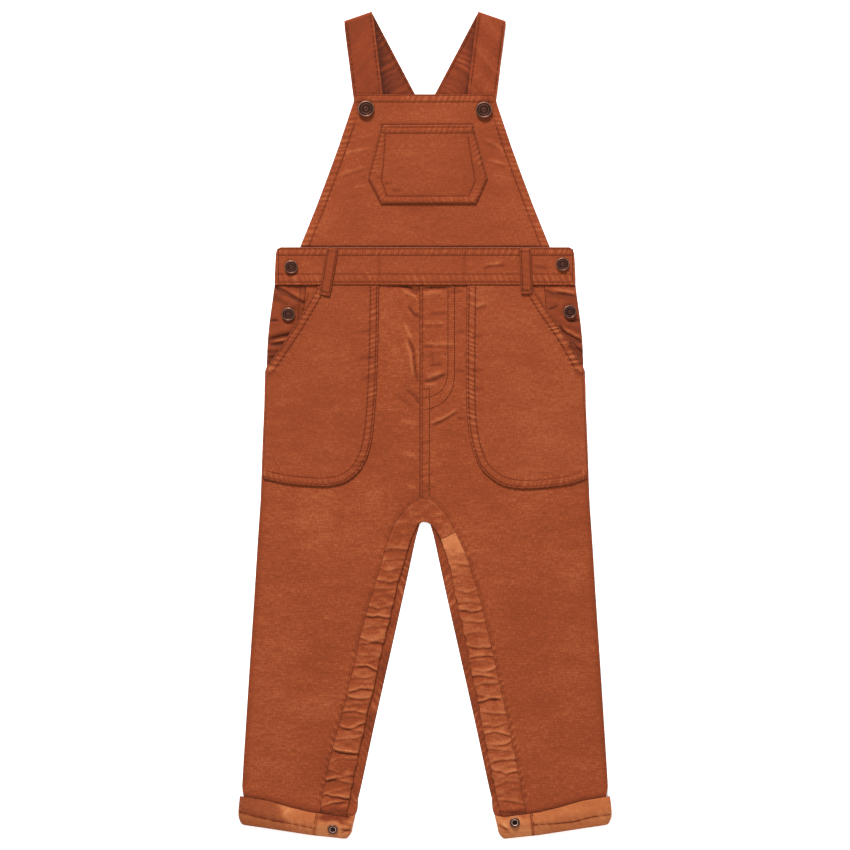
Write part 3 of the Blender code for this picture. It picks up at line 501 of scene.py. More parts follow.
# A turned hem or a seam with its stitch rows: the line of its edge, how far in its rows are, how
# wide and thick its fold is, the pitch of its puckers, and (along, height) rows for their size.
Hem = namedtuple("Hem", "line rows width lift pitch heights seed")


def hemmed(x, y, hem):
    """A hem's relief and painted light: shade in its stitch grooves, highlight on its puckers."""
    along, left = from_line(hem.line, x, y)
    away = np.abs(left)
    height = hem.lift * ease((hem.width - away) / 1.6)
    height -= 0.3 * (1.0 - bulge(away / 1.3))
    tone = 0.0
    for row in hem.rows:
        sunk = near(away - row, STITCH_REACH)
        height -= STITCH_SINK * sunk
        tone -= STITCH_SHADE * sunk
    size = np.interp(along, *np.array(hem.heights, float).T)
    wave = pucker(along + 0.4 * away, hem.pitch, hem.seed) * size
    reach = ease((hem.width + 2.6 - away) / 3.4)
    wave *= PUCKER_HEIGHT * reach
    tone = tone + PUCKER_TONE * wave - 0.2 * PUCKER_HEIGHT * size * reach
    return height + wave, tone


def relief(x, y, seed, hems=(), folds=(), calm=1.0):
    """(height, tone) of a sheet's upper side above its even wall; tone paints its light and shade.
    """
    height = washed(x, y, seed, calm)
    tone = 0.5 * height
    for hem in hems:
        more, shade = hemmed(x, y, hem)
        height, tone = height + more, tone + shade
    fold = FOLD_DEPTH * folded(x, y, folds)
    return height + fold, tone + FOLD_TONE * fold


# ---- materials -------------------------------------------------------------------------------


def linear(sheet_hex):
    """A colour given as sRGB hex, as the linear values that Blender takes."""
    channels = [int(sheet_hex[i : i + 2], 16) / 255.0 for i in (1, 3, 5)]
    return tuple(
        c / 12.92 if c <= 0.04045 else ((c + 0.055) / 1.055) ** 2.4 for c in channels
    ) + (1.0,)


def set_inputs(tree, made, inputs):
    """A node's inputs, each linked where it is given a socket, or else given a value."""
    for key, value in inputs.items():
        if isinstance(value, bpy.types.NodeSocket):
            tree.links.new(value, made.inputs[key])
        else:
            made.inputs[key].default_value = value


def add_node(tree, kind, inputs=None, stops=(), **settings):
    """A node with its settings, its links and values, and its stops where it is a colour ramp."""
    made = tree.nodes.new(kind)
    for key, value in settings.items():
        setattr(made, key, value)
    set_inputs(tree, made, inputs or {})
    while stops and len(made.color_ramp.elements) < len(stops):
        made.color_ramp.elements.new(0.5)
    for index, (at, colour) in enumerate(stops):
        made.color_ramp.elements[index].position = at
        made.color_ramp.elements[index].color = linear(colour)
    return made


def surface_of(name):
    """A new material, its node tree and the shader that its surface has."""
    made = bpy.data.materials.new(name)
    made.use_nodes = True
    return made, made.node_tree, made.node_tree.nodes["Principled BSDF"]


def weighed(tree, start, *terms):
    """A start value plus each source times its weight."""
    total = start
    for source, weight in terms:
        total = add_node(
            tree, "ShaderNodeMath", {0: source, 1: weight, 2: total}, operation="MULTIPLY_ADD"
        ).outputs[0]
    return total


SLUB_LENGTH_MM = 10.0
SLUB_HEIGHT_MM = 1.15
THREAD_MM = 1.15
CLOUD_MM = 34.0
# How far each pattern moves the cloth's colour on the way from its dark to its light.
TONE_SHARE = 0.4
SLUB_SHARE = 0.2
CLOUD_SHARE = 0.07


def cotton(name, dark, base, light, slub, net):
    """Washed crinkled cotton, plain woven with slubs along the weft.

    It looks matt, with short level streaks where a thread is thick, a fine net of threads, and a
    soft bloom of loose fibre. `tone` carries painted light: highlights on folds and seam ridges,
    and shade in troughs, grooves and beside other parts, with some tone that differs at random.
    The threads are about half a millimetre apart and are drawn at twice that, so that they show.
    `slub` and `net` say how strongly the slubs and the net of threads show.
    """
    made, tree, surface = surface_of(name)
    grain = add_node(tree, "ShaderNodeAttribute", attribute_name="grain").outputs["Vector"]
    tone = add_node(tree, "ShaderNodeAttribute", attribute_name="tone").outputs["Fac"]

    def streaks(across, up, detail, roughness=0.55):
        place = add_node(tree, "ShaderNodeMapping", {
            "Vector": grain, "Scale": (1.0 / (across * MM), 1.0 / (up * MM), 1.0),
        })
        return add_node(tree, "ShaderNodeTexNoise", {
            "Vector": place.outputs["Vector"], "Scale": 1.0, "Detail": detail,
            "Roughness": roughness,
        }).outputs["Fac"]

    slubs = streaks(SLUB_LENGTH_MM, SLUB_HEIGHT_MM, 3.0, 0.6)
    weft = streaks(4.0 * THREAD_MM, 0.8 * THREAD_MM, 2.0)
    warp = streaks(0.8 * THREAD_MM, 3.4 * THREAD_MM, 2.0)
    cloud = streaks(CLOUD_MM, CLOUD_MM, 2.0)
    threads = weighed(tree, 0.0, (weft, 1.0), (warp, 1.0))
    factor = weighed(
        tree, 0.5 - 0.5 * SLUB_SHARE * slub - net - 0.5 * CLOUD_SHARE, (tone, TONE_SHARE),
        (slubs, SLUB_SHARE * slub), (threads, net), (cloud, CLOUD_SHARE),
    )
    colour = add_node(
        tree, "ShaderNodeValToRGB", {"Fac": factor}, ((0.0, dark), (0.5, base), (1.0, light))
    )
    bump = add_node(tree, "ShaderNodeBump", {
        "Strength": 0.55, "Distance": 0.32 * MM,
        "Height": weighed(tree, 0.0, (slubs, 0.9 * slub), (threads, 0.55)),
    })
    set_inputs(tree, surface, {
        "Base Color": colour.outputs["Color"], "Normal": bump.outputs["Normal"],
        "Roughness": weighed(tree, 0.8, (threads, 0.1)), "Specular IOR Level": 0.16,
        "Sheen Weight": 0.09, "Sheen Roughness": 0.6, "Sheen Tint": linear("#d98f66"),
    })
    return made


def plain(name, texture, stops, inputs):
    """A surface of one colour that a noise on Object coordinates leaves a little uneven."""
    made, tree, surface = surface_of(name)
    place = add_node(tree, "ShaderNodeTexCoord").outputs["Object"]
    noise = add_node(tree, "ShaderNodeTexNoise", {"Vector": place, **texture}).outputs["Fac"]
    colour = add_node(tree, "ShaderNodeValToRGB", {"Fac": noise}, stops).outputs["Color"]
    set_inputs(tree, surface, {"Base Color": colour, **inputs})
    return made


def thread(name, colour, dark):
    """Spun polyester sewing thread: round, of twisted plies, and as matt as the washed cloth."""
    return plain(
        name, {"Scale": 1.0 / (0.6 * MM), "Detail": 1.0}, ((0.3, dark), (0.7, colour)),
        {"Roughness": 0.75, "Specular IOR Level": 0.1},
    )


def needle_hole(name, colour):
    """Painted shade: the dark of the pit that a needle and a tight thread leave in washed cotton.
    """
    return plain(
        name, {"Scale": 1.0 / (2.0 * MM)}, ((0.2, "#240c05"), (0.8, colour)),
        {"Roughness": 1.0, "Specular IOR Level": 0.0},
    )


def antique_bronze(name):
    """Stamped brass with a dark chemical patina, which rubbing takes back to warm metal on its high
    rims. On the popper rings `tone` also holds painted light: a highlight and the shade of the
    hole.
    """
    made, tree, surface = surface_of(name)
    place = add_node(tree, "ShaderNodeTexCoord").outputs["Object"]
    patina = add_node(tree, "ShaderNodeTexNoise", {
        "Vector": place, "Scale": 1.0 / (1.8 * MM), "Detail": 4.0, "Roughness": 0.65,
    }).outputs["Fac"]
    rub_and_painted_light = add_node(tree, "ShaderNodeAttribute", attribute_name="tone").outputs["Fac"]
    colour = add_node(
        tree, "ShaderNodeValToRGB", {"Fac": weighed(tree, 0.15, (rub_and_painted_light, 0.5), (patina, 0.5))},
        ((0.1, "#1c0f0c"), (0.5, "#48281f"), (0.85, "#775648"), (1.0, "#b9998a")),
    )
    bump = add_node(tree, "ShaderNodeBump", {
        "Strength": 0.25, "Distance": 0.1 * MM, "Height": patina,
    })
    set_inputs(tree, surface, {
        "Base Color": colour.outputs["Color"], "Normal": bump.outputs["Normal"],
        "Metallic": 0.9, "Roughness": weighed(tree, 0.58, (patina, -0.3)),
    })
    return made


# name, dark, base and light colours, strength of the slubs and of the net of threads
RUST = cotton("washed_rust_cotton", "#2a0d05", "#783317", "#b26b42", 0.5, 0.28)
RUST_LEG = cotton("washed_rust_cotton_leg", "#2a0d05", "#7b3518", "#b26b42", 1.15, 0.36)
RUST_STRAP = cotton("washed_rust_cotton_strap", "#280c05", "#753016", "#aa643d", 0.5, 0.28)
RUST_INSIDE = cotton("wrong_side_of_rust_cotton", "#591705", "#98532d", "#c38456", 0.6, 0.28)
THREAD = thread("rust_sewing_thread", "#7a381d", "#542410")
NEEDLE_HOLE_SHADE = needle_hole("needle_hole_shade", "#45190a")
BRONZE = antique_bronze("antique_bronze")

# ---- making pieces ---------------------------------------------------------------------------


def add_piece(name, bm, looks, slot, *nodes):
    mesh = bpy.data.meshes.new(name)
    bm.to_mesh(mesh)
    bm.free()
    mesh.shade_smooth()
    mesh.set_sharp_from_angle(angle=math.radians(50.0))
    for look in looks:
        mesh.materials.append(look)
    made = bpy.data.objects.new(name, mesh)
    bpy.context.collection.objects.link(made)
    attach(made, "root")
    if nodes:
        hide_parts(*nodes)
    return made


def grid(points, tone=None, rise=None, grain=None):
    """A bmesh of quads through rows of points, with the grain, tone and wall of each."""
    rows, columns = points.shape[:2]
    bm = bmesh.new()
    bmesh.ops.create_grid(bm, x_segments=columns - 1, y_segments=rows - 1, size=1.0)
    layers = (
        bm.verts.layers.float_vector.new("grain"),
        bm.verts.layers.float.new("tone"),
        bm.verts.layers.float_vector.new("rise"),
    )
    grain = points if grain is None else grain
    tone = np.zeros((rows, columns)) if tone is None else np.clip(tone, -1.0, 1.0)
    rise = np.zeros_like(points) if rise is None else rise
    values = zip(grain.reshape(-1, 3) * MM, tone.ravel(), rise.reshape(-1, 3) * MM)
    for vertex, point, value in zip(bm.verts, points.reshape(-1, 3) * MM, values):
        vertex.co = point
        for layer, found in zip(layers, value):
            vertex[layer] = found
    return bm


def drawn_in(rows, turned_in):
    """The same rows of points, with the outermost ones moved in, as an edge turned under has.

    They move most of the way to the next ones at most, so that no two rows cross.
    """
    moved = rows.copy()
    for edge, next_in in ((0, 1), (-1, -2)):
        for line, inner in ((moved[edge], moved[next_in]), (moved[:, edge], moved[:, next_in])):
            gap = np.maximum(np.hypot(*(inner - line).T), 0.001)
            line += (inner - line) * np.minimum(turned_in / gap, 0.8)[:, None]
    return moved


def shell(node, rows, low, wall, folds, look, slot, painted_edge_shade=-1.0, turned_in=0.6,
          rounding=0.25):
    """A sewn sheet through rows of (x, y), and the function that gives its upper side's height.

    It lies on `low`, and `folds` gives the relief above its even wall, with the tone. Its edges
    lean in, because they are turned under, and get painted shade down to the underside.
    """
    x, y = rows[..., 0], rows[..., 1]
    under = low(x, y) + np.zeros_like(x)
    fold, tone = folds(x, y)
    lean = drawn_in(rows, turned_in) - rows
    rise = np.concatenate([lean, (wall + fold)[..., None]], axis=-1)
    bm = grid(np.stack([x, y, under], axis=-1), tone, rise)
    rise_of = bm.verts.layers.float_vector["rise"]
    tone_of = bm.verts.layers.float["tone"]
    undersides = bm.verts[:]
    grown = bmesh.ops.extrude_face_region(bm, geom=bm.faces[:])
    for vertex, shade in zip(undersides, np.broadcast_to(painted_edge_shade, x.shape).ravel()):
        vertex[tone_of] = shade
    for item in grown["geom"]:
        if isinstance(item, bmesh.types.BMVert):
            item.co += item[rise_of]
    bm.verts.layers.float_vector.remove(rise_of)
    bmesh.ops.recalc_face_normals(bm, faces=bm.faces)
    made = add_piece(f"{node}_cloth", bm, [look], slot, node)
    rounded = made.modifiers.new("turned edge", "BEVEL")
    rounded.limit_method = "ANGLE"
    rounded.angle_limit = math.radians(65.0)
    rounded.width = rounding * MM
    rounded.segments = 2

    def top(x, y):
        return low(x, y) + wall + folds(x, y)[0]

    return made, top


def ring_shell(node, bm, wall, look, slot):
    """A piece made along the middle of its wall, which then gets its thickness to both sides."""
    bmesh.ops.recalc_face_normals(bm, faces=bm.faces)
    made = add_piece(f"{node}_cloth", bm, [look], slot, node)
    thicken = made.modifiers.new("wall", "SOLIDIFY")
    thicken.thickness = wall * MM
    thicken.offset = 0.0
    return made


STITCH_PITCH = 2.2
STITCH_LENGTH = 1.45
STITCH_WIDTH = 0.62
STITCH_PROUD = 0.24
STITCH_LIFT = 0.02
HOLE_RADIUS = 0.46
HOLE_STRETCH = 1.25
HOLE_LIFT = 0.1


def placed(centre, along, across, up):
    """A place for a small shape, with what its three axes become."""
    return Matrix.Translation(centre) @ Matrix((along, across, up)).transposed().to_4x4()


def sew(name, lines, top, slot):
    """Rows of lockstitch along lines on a cloth's upper side, as short threads between holes."""
    bm = bmesh.new()
    for line in lines:
        # An odd number of points: a hole, the middle of a thread, a hole, and so on.
        points = even(line, 0.5 * STITCH_PITCH, smooth=False)
        points = points[: len(points) - (len(points) + 1) % 2, :2]
        heights = top(points[:, 0], points[:, 1])
        places = [Vector((x, y, z)) for (x, y), z in zip(points, heights)]
        for start, middle, end in zip(places[0::2], places[1::2], places[2::2]):
            along = (end - start).normalized()
            flat = Vector((-along.y, along.x, 0.0)).normalized()
            up = along.cross(flat)
            lying = placed(
                middle + up * STITCH_LIFT, along * (0.5 * STITCH_LENGTH),
                flat * (0.5 * STITCH_WIDTH), up * STITCH_PROUD,
            )
            bmesh.ops.create_uvsphere(
                bm, u_segments=6, v_segments=4, radius=1.0,
                matrix=lying @ Matrix.Rotation(math.pi / 2, 4, "Y"),
            )
            # Each hole is a small dark disc of painted shade.
            hole = bmesh.ops.create_circle(
                bm, cap_ends=True, segments=6, radius=HOLE_RADIUS,
                matrix=placed(start + up * HOLE_LIFT, along * HOLE_STRETCH, flat, up),
            )
            for face in {face for vertex in hole["verts"] for face in vertex.link_faces}:
                face.material_index = 1
    bmesh.ops.scale(bm, vec=(MM, MM, MM), verts=bm.verts)
    return add_piece(name, bm, [THREAD, NEEDLE_HOLE_SHADE], slot)


def beside_line(line, distance):
    """The same line moved to its left, or to its right where the distance is negative."""
    line = np.asarray(line, float)[:, :2]
    along = np.gradient(line, axis=0)
    along /= np.hypot(*along.T)[:, None]
    return line + np.stack([-along[:, 1], along[:, 0]], axis=1) * distance


def part_of(line, start):
    """The stretch of a line from a distance along it to its end."""
    line = even(line, 0.7, smooth=False)
    return line[lengths(line) >= start]


# ---- outlines --------------------------------------------------------------------------------


def into_panel(stations, clear):
    """The seam points of stations, moved `clear` away from the band."""
    seam, edge = stations[:, :2], stations[:, 2:]
    share = clear / np.hypot(*(seam - edge).T)
    return seam + (seam - edge) * share[:, None]


def leg_levels(stations, side):
    """The outer and inner ends of a leg's rows, one for each station of its inseam."""
    travelled = lengths(stations)
    outer_y = LEG_OUTER_TOP + (LEG_OUTER_LOW - LEG_OUTER_TOP) * travelled / travelled[-1]
    outer = np.stack([side * read(SIDE, outer_y), outer_y], axis=1)
    return outer, into_panel(stations, SEAM)


def hem_line(x):
    """Where a leg ends inside the roll of its turn-up."""
    hem, top = read(CUFF_EDGES, np.abs(x), 1), read(CUFF_EDGES, np.abs(x), 2)
    return hem + CUFF_TURN * (top - hem) / CUFF_HEIGHT


def hem_rows(inseam, side, columns):
    """The last rows of a leg panel, along the turn-up's top edge and then along its hem."""
    stations = through(inseam, 8 * (len(inseam) - 1) + 1)
    inner = [(row[1], abs(row[0]) + SEAM) for row in stations]

    def level(x, above):
        return hem_line(x) if above is None else read(CUFF_EDGES, x, 2) + above

    rows = []
    for above in (*CLIMB_ROWS, None):
        outer = HEM_OUTER_X
        if above is not None:
            outer = read(SIDE, level(HEM_OUTER_X, above))
        # Where the row meets the inseam, found from a place near it in a few steps.
        inner_x = 80.0
        for _ in range(5):
            inner_x = read(inner, level(inner_x, above))
        x = np.linspace(outer, inner_x, columns + 1)
        rows.append(np.stack([side * x, level(x, above)], axis=1))
    return np.array(rows)


def leg_panel(levels, inner_x, inseam, keep, side, columns, spacing):
    """Rows of a leg panel from its waist to its hem; levels are (outer x, y)."""
    outer = np.array(levels)
    inner = np.stack([np.full(len(outer), inner_x), outer[:, 1]], axis=1)
    seat = level_rows(outer, inner, columns)
    stations = curve(inseam, np.linspace(0.0, keep, 6 * keep + 1))
    outer, inner = leg_levels(stations, side)
    inner[0, 0] = inner_x
    leg = level_rows(outer, inner, columns)
    return closer(np.concatenate([seat, leg, hem_rows(inseam, side, columns)]), spacing)


def back_inseam(side):
    """Stations of a back band, from its free edge and the angle of its width."""
    rows = []
    for x, y, angle in BACK_EDGE:
        turn = math.radians(angle)
        seam_x = x + BACK_BAND_WIDTH * math.cos(turn)
        rows.append((side * seam_x, y + BACK_BAND_WIDTH * math.sin(turn), side * x, y))
    return rows


def band_rows(side):
    """Stations of a front inseam band; the left one starts on the right leg."""
    steps = 8
    right = through(INSEAM_RIGHT, steps * (len(INSEAM_RIGHT) - 1) + 1)
    if side > 0:
        down = right[steps * GUSSET_END :]
        clear = SEAM / math.dist(down[0][:2], down[1][:2])
        first = down[0] + (down[1] - down[0]) * clear
        return np.concatenate([first[None], down[1:]])
    left = through(INSEAM_LEFT, steps * (len(INSEAM_LEFT) - 1) + 1)
    return np.concatenate([right[steps * GUSSET_END : 0 : -1], left])


# ---- folds and seams, placed one by one ------------------------------------------------------

# The ends of a crease, how wide it is, and its height as a share of `FOLD_DEPTH`.
Fold = namedtuple("Fold", "x y to_x to_y width height")
HIP_FOLDS = (
    Fold(-126.5, 121.0, -105.0, 109.0, 2.0, 0.3),
    Fold(-127.5, 117.6, -106.0, 105.6, 1.2, -0.7),
    Fold(-107.9, 105.8, -102.3, 105.5, 1.0, -0.4),
    Fold(-100.2, 112.7, -102.3, 103.2, 1.2, -0.5),
    Fold(-133.0, 89.6, -126.5, 90.1, 1.1, -0.5),
    Fold(-132.0, 74.2, -115.3, 78.0, 1.2, -0.7),
    Fold(-131.0, 71.4, -114.5, 75.4, 1.5, 0.5),
    Fold(-133.0, 69.2, -120.0, 69.7, 1.0, -0.5),
    Fold(-133.9, 58.0, -128.6, 58.5, 1.0, -0.5),
    Fold(112.5, 116.2, 129.0, 113.8, 1.7, 0.4),
    Fold(113.1, 113.5, 129.1, 110.9, 1.2, -0.7),
    Fold(104.3, 115.2, 110.9, 112.5, 1.1, -0.4),
    Fold(107.1, 99.4, 114.6, 102.3, 1.1, -0.5),
    Fold(123.0, 89.6, 132.4, 89.8, 1.2, -0.7),
    Fold(115.6, 85.4, 120.4, 77.6, 1.2, -0.6),
    Fold(119.6, 78.4, 133.7, 71.4, 1.3, -0.8),
    Fold(119.0, 83.0, 134.0, 75.0, 1.8, 0.5),
    Fold(125.8, 70.5, 135.1, 60.2, 1.3, -0.7),
)
FLY_FOLDS = (
    Fold(-33.0, 118.6, -22.0, 119.4, 1.1, -0.4),
    Fold(-22.0, 120.0, -13.3, 118.6, 1.1, -0.8),
    Fold(-13.8, 118.8, -7.6, 113.5, 1.1, -1.0),
    Fold(-8.2, 113.6, -4.9, 117.0, 1.1, -0.9),
    Fold(-20.0, 116.6, -9.5, 111.0, 1.3, 0.45),
    Fold(-10.5, 112.0, -6.0, 107.0, 1.2, 0.35),
    Fold(-13.7, 101.4, -9.6, 95.0, 1.1, -0.8),
    Fold(-9.6, 95.0, -5.4, 92.9, 1.1, -0.8),
    Fold(-17.0, 85.1, -11.2, 73.5, 1.4, 0.45),
    Fold(-13.3, 72.2, -9.7, 62.8, 1.1, -0.8),
    Fold(-9.7, 62.8, -8.3, 47.3, 1.1, -0.8),
    Fold(-8.3, 47.3, -6.2, 37.0, 1.1, -0.7),
    Fold(-16.3, 72.0, -12.0, 60.0, 1.3, 0.4),
    Fold(-12.0, 60.0, -10.4, 42.0, 1.3, 0.35),
    Fold(-16.2, 30.1, -7.6, 24.1, 1.2, -0.5),
    Fold(-7.6, 24.1, -5.6, 18.0, 1.2, -0.5),
    Fold(-1.9, 116.1, 5.6, 117.8, 1.3, -0.6),
    Fold(5.0, 117.9, 18.5, 117.4, 1.3, -0.6),
    Fold(-1.0, 113.0, 15.0, 114.8, 1.8, 0.35),
    Fold(20.5, 113.5, 31.6, 114.4, 1.2, -0.4),
    Fold(4.6, 94.8, 18.5, 95.7, 1.2, -0.4),
    Fold(-0.4, 84.7, 16.8, 85.1, 1.2, -0.4),
    Fold(-0.4, 87.2, 16.8, 87.6, 1.5, 0.25),
    Fold(27.1, 79.4, 34.4, 80.0, 1.2, -0.45),
    Fold(-1.9, 67.3, 7.0, 67.0, 1.2, -0.65),
    Fold(9.0, 66.8, 25.1, 66.2, 1.2, -0.4),
    Fold(-1.5, 69.8, 24.0, 69.4, 1.6, 0.35),
    Fold(6.5, 61.9, 6.5, 47.3, 1.4, -0.35),
    Fold(4.7, 50.7, 14.2, 51.6, 1.2, -0.4),
    Fold(26.1, 45.8, 34.4, 46.3, 1.2, -0.45),
    Fold(-0.1, 37.6, 7.6, 37.8, 1.3, -0.8),
    Fold(7.0, 38.0, 17.6, 43.5, 1.3, -0.8),
    Fold(0.5, 34.8, 9.0, 35.2, 1.7, 0.45),
    Fold(2.0, 40.8, 15.5, 45.2, 1.6, 0.4),
    Fold(5.3, 1.6, 16.0, 6.0, 1.2, 0.5),
    Fold(15.0, 5.6, 26.8, 12.8, 1.2, 0.5),
    Fold(6.3, -0.6, 16.5, 3.6, 1.1, -0.6),
    Fold(16.0, 3.4, 27.6, 10.4, 1.1, -0.5),
    Fold(28.0, 5.2, 36.0, 5.0, 1.2, -0.4),
    Fold(-2.0, -16.0, 5.0, -15.6, 1.0, -0.35),
    Fold(-2.0, -24.0, 5.0, -24.5, 1.0, -0.35),
    Fold(-2.0, -33.5, 5.0, -33.0, 1.0, -0.35),
    Fold(-2.0, -44.0, 8.0, -43.0, 1.1, -0.35),
    Fold(-2.0, -52.0, 9.0, -54.0, 1.1, -0.4),
    Fold(-2.0, -58.0, 5.0, -56.0, 1.1, -0.4),
    Fold(-110.0, -70.0, -80.0, -70.0, 34.0, 0.1),
    Fold(15.0, -32.0, 70.0, -45.0, 26.0, -0.12),
    Fold(-20.0, 3.0, -7.0, 1.0, 2.2, 0.3),
    Fold(-19.0, -24.0, -7.0, -28.0, 2.4, 0.3),
    Fold(-16.0, -52.0, -6.0, -56.0, 1.6, 0.35),
    Fold(-24.0, 25.0, -10.0, 14.0, 1.5, -0.3),
)
BIB_FOLDS = (
    Fold(-69.6, 233.9, -48.9, 238.2, 1.3, 0.3),
    Fold(-74.4, 215.4, -51.7, 222.3, 1.3, 0.25),
    Fold(-72.0, 212.6, -52.0, 219.0, 1.2, -0.2),
    Fold(-62.0, 204.0, -47.0, 208.0, 1.3, 0.15),
    Fold(-60.0, 247.0, -44.0, 250.0, 1.3, 0.15),
    Fold(52.0, 246.0, 63.0, 240.5, 1.3, 0.25),
    Fold(61.5, 241.0, 69.0, 233.1, 1.3, 0.25),
    Fold(50.0, 243.0, 61.0, 237.5, 1.0, -0.2),
    Fold(55.2, 227.9, 71.8, 223.6, 1.3, 0.28),
    Fold(57.0, 224.8, 71.0, 220.8, 1.1, -0.2),
    Fold(58.0, 216.0, 72.0, 212.0, 1.3, 0.15),
)
BIB_POCKET_FOLDS = (
    Fold(-35.0, 207.3, -29.5, 207.0, 1.2, -0.3),
    Fold(-29.0, 201.2, -19.0, 201.4, 1.2, -0.3),
    Fold(-41.7, 212.0, -35.3, 212.0, 1.2, -0.3),
    Fold(-25.0, 232.0, 6.0, 234.5, 2.2, 0.06),
    Fold(2.0, 219.0, 34.0, 217.5, 2.2, 0.06),
)
POCKET_FOLDS = (
    Fold(43.8, 98.5, 53.1, 102.7, 1.4, -0.4),
    Fold(43.0, 101.0, 52.0, 105.0, 1.5, 0.3),
    Fold(41.0, 75.0, 50.0, 76.3, 1.3, -0.35),
    Fold(40.0, 45.8, 49.0, 46.8, 1.3, -0.35),
    Fold(40.6, 30.0, 50.5, 31.0, 1.3, -0.35),
    Fold(-44.0, 81.0, -55.0, 79.0, 1.4, -0.3),
    Fold(-43.5, 58.0, -56.0, 56.5, 1.4, -0.3),
    Fold(-44.0, 40.0, -54.0, 39.0, 1.4, -0.3),
    Fold(-63.0, -38.0, -52.0, -31.0, 1.4, -0.3),
)
WAIST_FOLDS = (
    Fold(51.2, 134.2, 56.6, 136.4, 1.3, -0.5),
    Fold(55.5, 136.3, 68.0, 136.7, 1.3, -0.5),
    Fold(52.0, 137.2, 66.0, 139.0, 1.6, 0.35),
    Fold(94.1, 135.9, 105.3, 134.4, 1.2, -0.4),
    Fold(-39.4, 150.0, -39.4, 124.0, 1.2, -0.3),
    Fold(34.0, 150.0, 34.0, 124.0, 1.2, -0.3),
)
CUFF_FOLDS = (
    Fold(-90.0, -339.0, -64.1, -338.0, 1.9, -0.8),
    Fold(-80.0, -340.5, -70.0, -344.0, 1.3, -0.5),
    Fold(-73.0, -341.5, -63.5, -344.9, 1.3, -0.8),
    Fold(-74.0, -347.4, -64.0, -349.2, 1.1, -0.9),
    Fold(-72.0, -351.0, -65.0, -347.6, 0.9, -0.8),
    Fold(-124.0, -338.0, -116.0, -331.0, 2.4, 0.35),
    Fold(64.0, -344.0, 71.0, -348.6, 1.0, -1.2),
    Fold(66.5, -343.4, 71.5, -346.0, 1.0, 0.6),
    Fold(66.0, -350.0, 74.0, -351.0, 1.2, -0.4),
    Fold(66.0, -334.5, 88.0, -336.5, 1.8, -0.4),
)
# y of a crease on a band, and its height.
Gather = namedtuple("Gather", "y height")
GATHERS_LEFT = (
    Gather(-108.4, 0.45), Gather(-116.1, 0.3), Gather(-123.0, 0.35), Gather(-128.1, 0.3),
    Gather(-134.2, 0.4), Gather(-140.2, 0.35), Gather(-148.8, 0.5), Gather(-155.7, 0.4),
    Gather(-165.6, 0.75), Gather(-175.4, 0.6), Gather(-183.2, 0.5), Gather(-189.2, 0.5),
    Gather(-198.2, 0.55), Gather(-202.1, 0.5), Gather(-210.7, 0.6), Gather(-216.7, 0.5),
    Gather(-221.0, 0.5), Gather(-229.6, 0.6), Gather(-233.9, 0.5), Gather(-241.2, 0.8),
    Gather(-248.5, 0.65), Gather(-258.0, 0.65), Gather(-263.6, 0.55), Gather(-270.0, 0.6),
    Gather(-280.7, 0.8), Gather(-290.0, 0.5), Gather(-298.1, 0.6), Gather(-303.6, 0.5),
    Gather(-307.9, 0.5), Gather(-313.6, 0.45), Gather(-320.5, 0.8), Gather(-326.6, 0.7),
    Gather(-332.0, 0.6),
)
GATHERS_RIGHT = (
    Gather(-121.3, 0.35), Gather(-130.0, 0.25), Gather(-141.4, 0.7), Gather(-154.4, 0.5),
    Gather(-159.6, 0.5), Gather(-168.6, 0.55), Gather(-180.6, 0.6), Gather(-190.1, 0.6),
    Gather(-200.0, 0.6), Gather(-204.7, 0.5), Gather(-209.8, 0.5), Gather(-218.1, 0.55),
    Gather(-223.2, 0.7), Gather(-233.1, 0.55), Gather(-238.2, 0.7), Gather(-247.7, 0.6),
    Gather(-258.4, 0.75), Gather(-267.3, 0.6), Gather(-273.2, 0.55), Gather(-280.1, 0.6),
    Gather(-289.8, 0.65), Gather(-297.2, 0.55), Gather(-309.6, 0.65), Gather(-324.0, 0.7),
    Gather(-330.6, 0.6),
)

# Lines of seams: x, y. The slanted pocket mouths run from the waistband down to the side seam.
MOUTH_LEFT = ((-91.8, 120.3), (-98.8, 107.6), (-114.6, 81.4), (-135.4, 50.6))
MOUTH_RIGHT = ((91.8, 120.3), (102.2, 103.2), (111.6, 89.6), (122.4, 73.6), (135.4, 50.6))
FLY_SEAMS = (
    ((-2.4, 119.5), (-2.4, -62.0)),
    ((19.8, 119.5), (19.7, 43.5), (18.2, 36.5), (15.2, 30.6), (10.0, 26.6), (4.0, 24.2),
     (-3.2, 22.2)),
    ((25.4, 119.5), (25.4, 43.0), (24.2, 33.5), (21.2, 26.0), (17.0, 20.8), (12.0, 17.2),
     (6.0, 14.6), (-0.6, 13.0)),
    ((-2.4, 31.2), (3.9, 31.2), (3.6, -62.5)),
)
PLACKET_SEAM = ((-106.9, 119.0), (-109.6, 88.2))
BIB_POCKET_SEAM = (
    (-34.4, 250.0), (-35.7, 223.6), (-37.8, 212.4), (-32.8, 196.9), (37.6, 197.0), (43.3, 210.0),
    (40.5, 225.0), (36.7, 250.0),
)
CUFF_SEAM_LEFT = ((-159.0, -333.1), (-131.8, -340.0), (-112.5, -343.1), (-95.5, -346.8))
CUFF_SEAM_RIGHT = (
    (93.7, -343.8), (111.9, -342.7), (128.0, -341.1), (144.0, -336.9), (159.4, -334.7),
)
CUFF_PLACKET_LEFT = ((-92.2, -335.0), (-94.9, -352.6))
CUFF_PLACKET_RIGHT = ((90.5, -333.6), (93.1, -352.6))
WAIST_ROWS = (151.6, 146.2, 129.7, 123.0)
WAIST_ENDS = (-126.0, 126.9)

# ---- pieces ----------------------------------------------------------------------------------

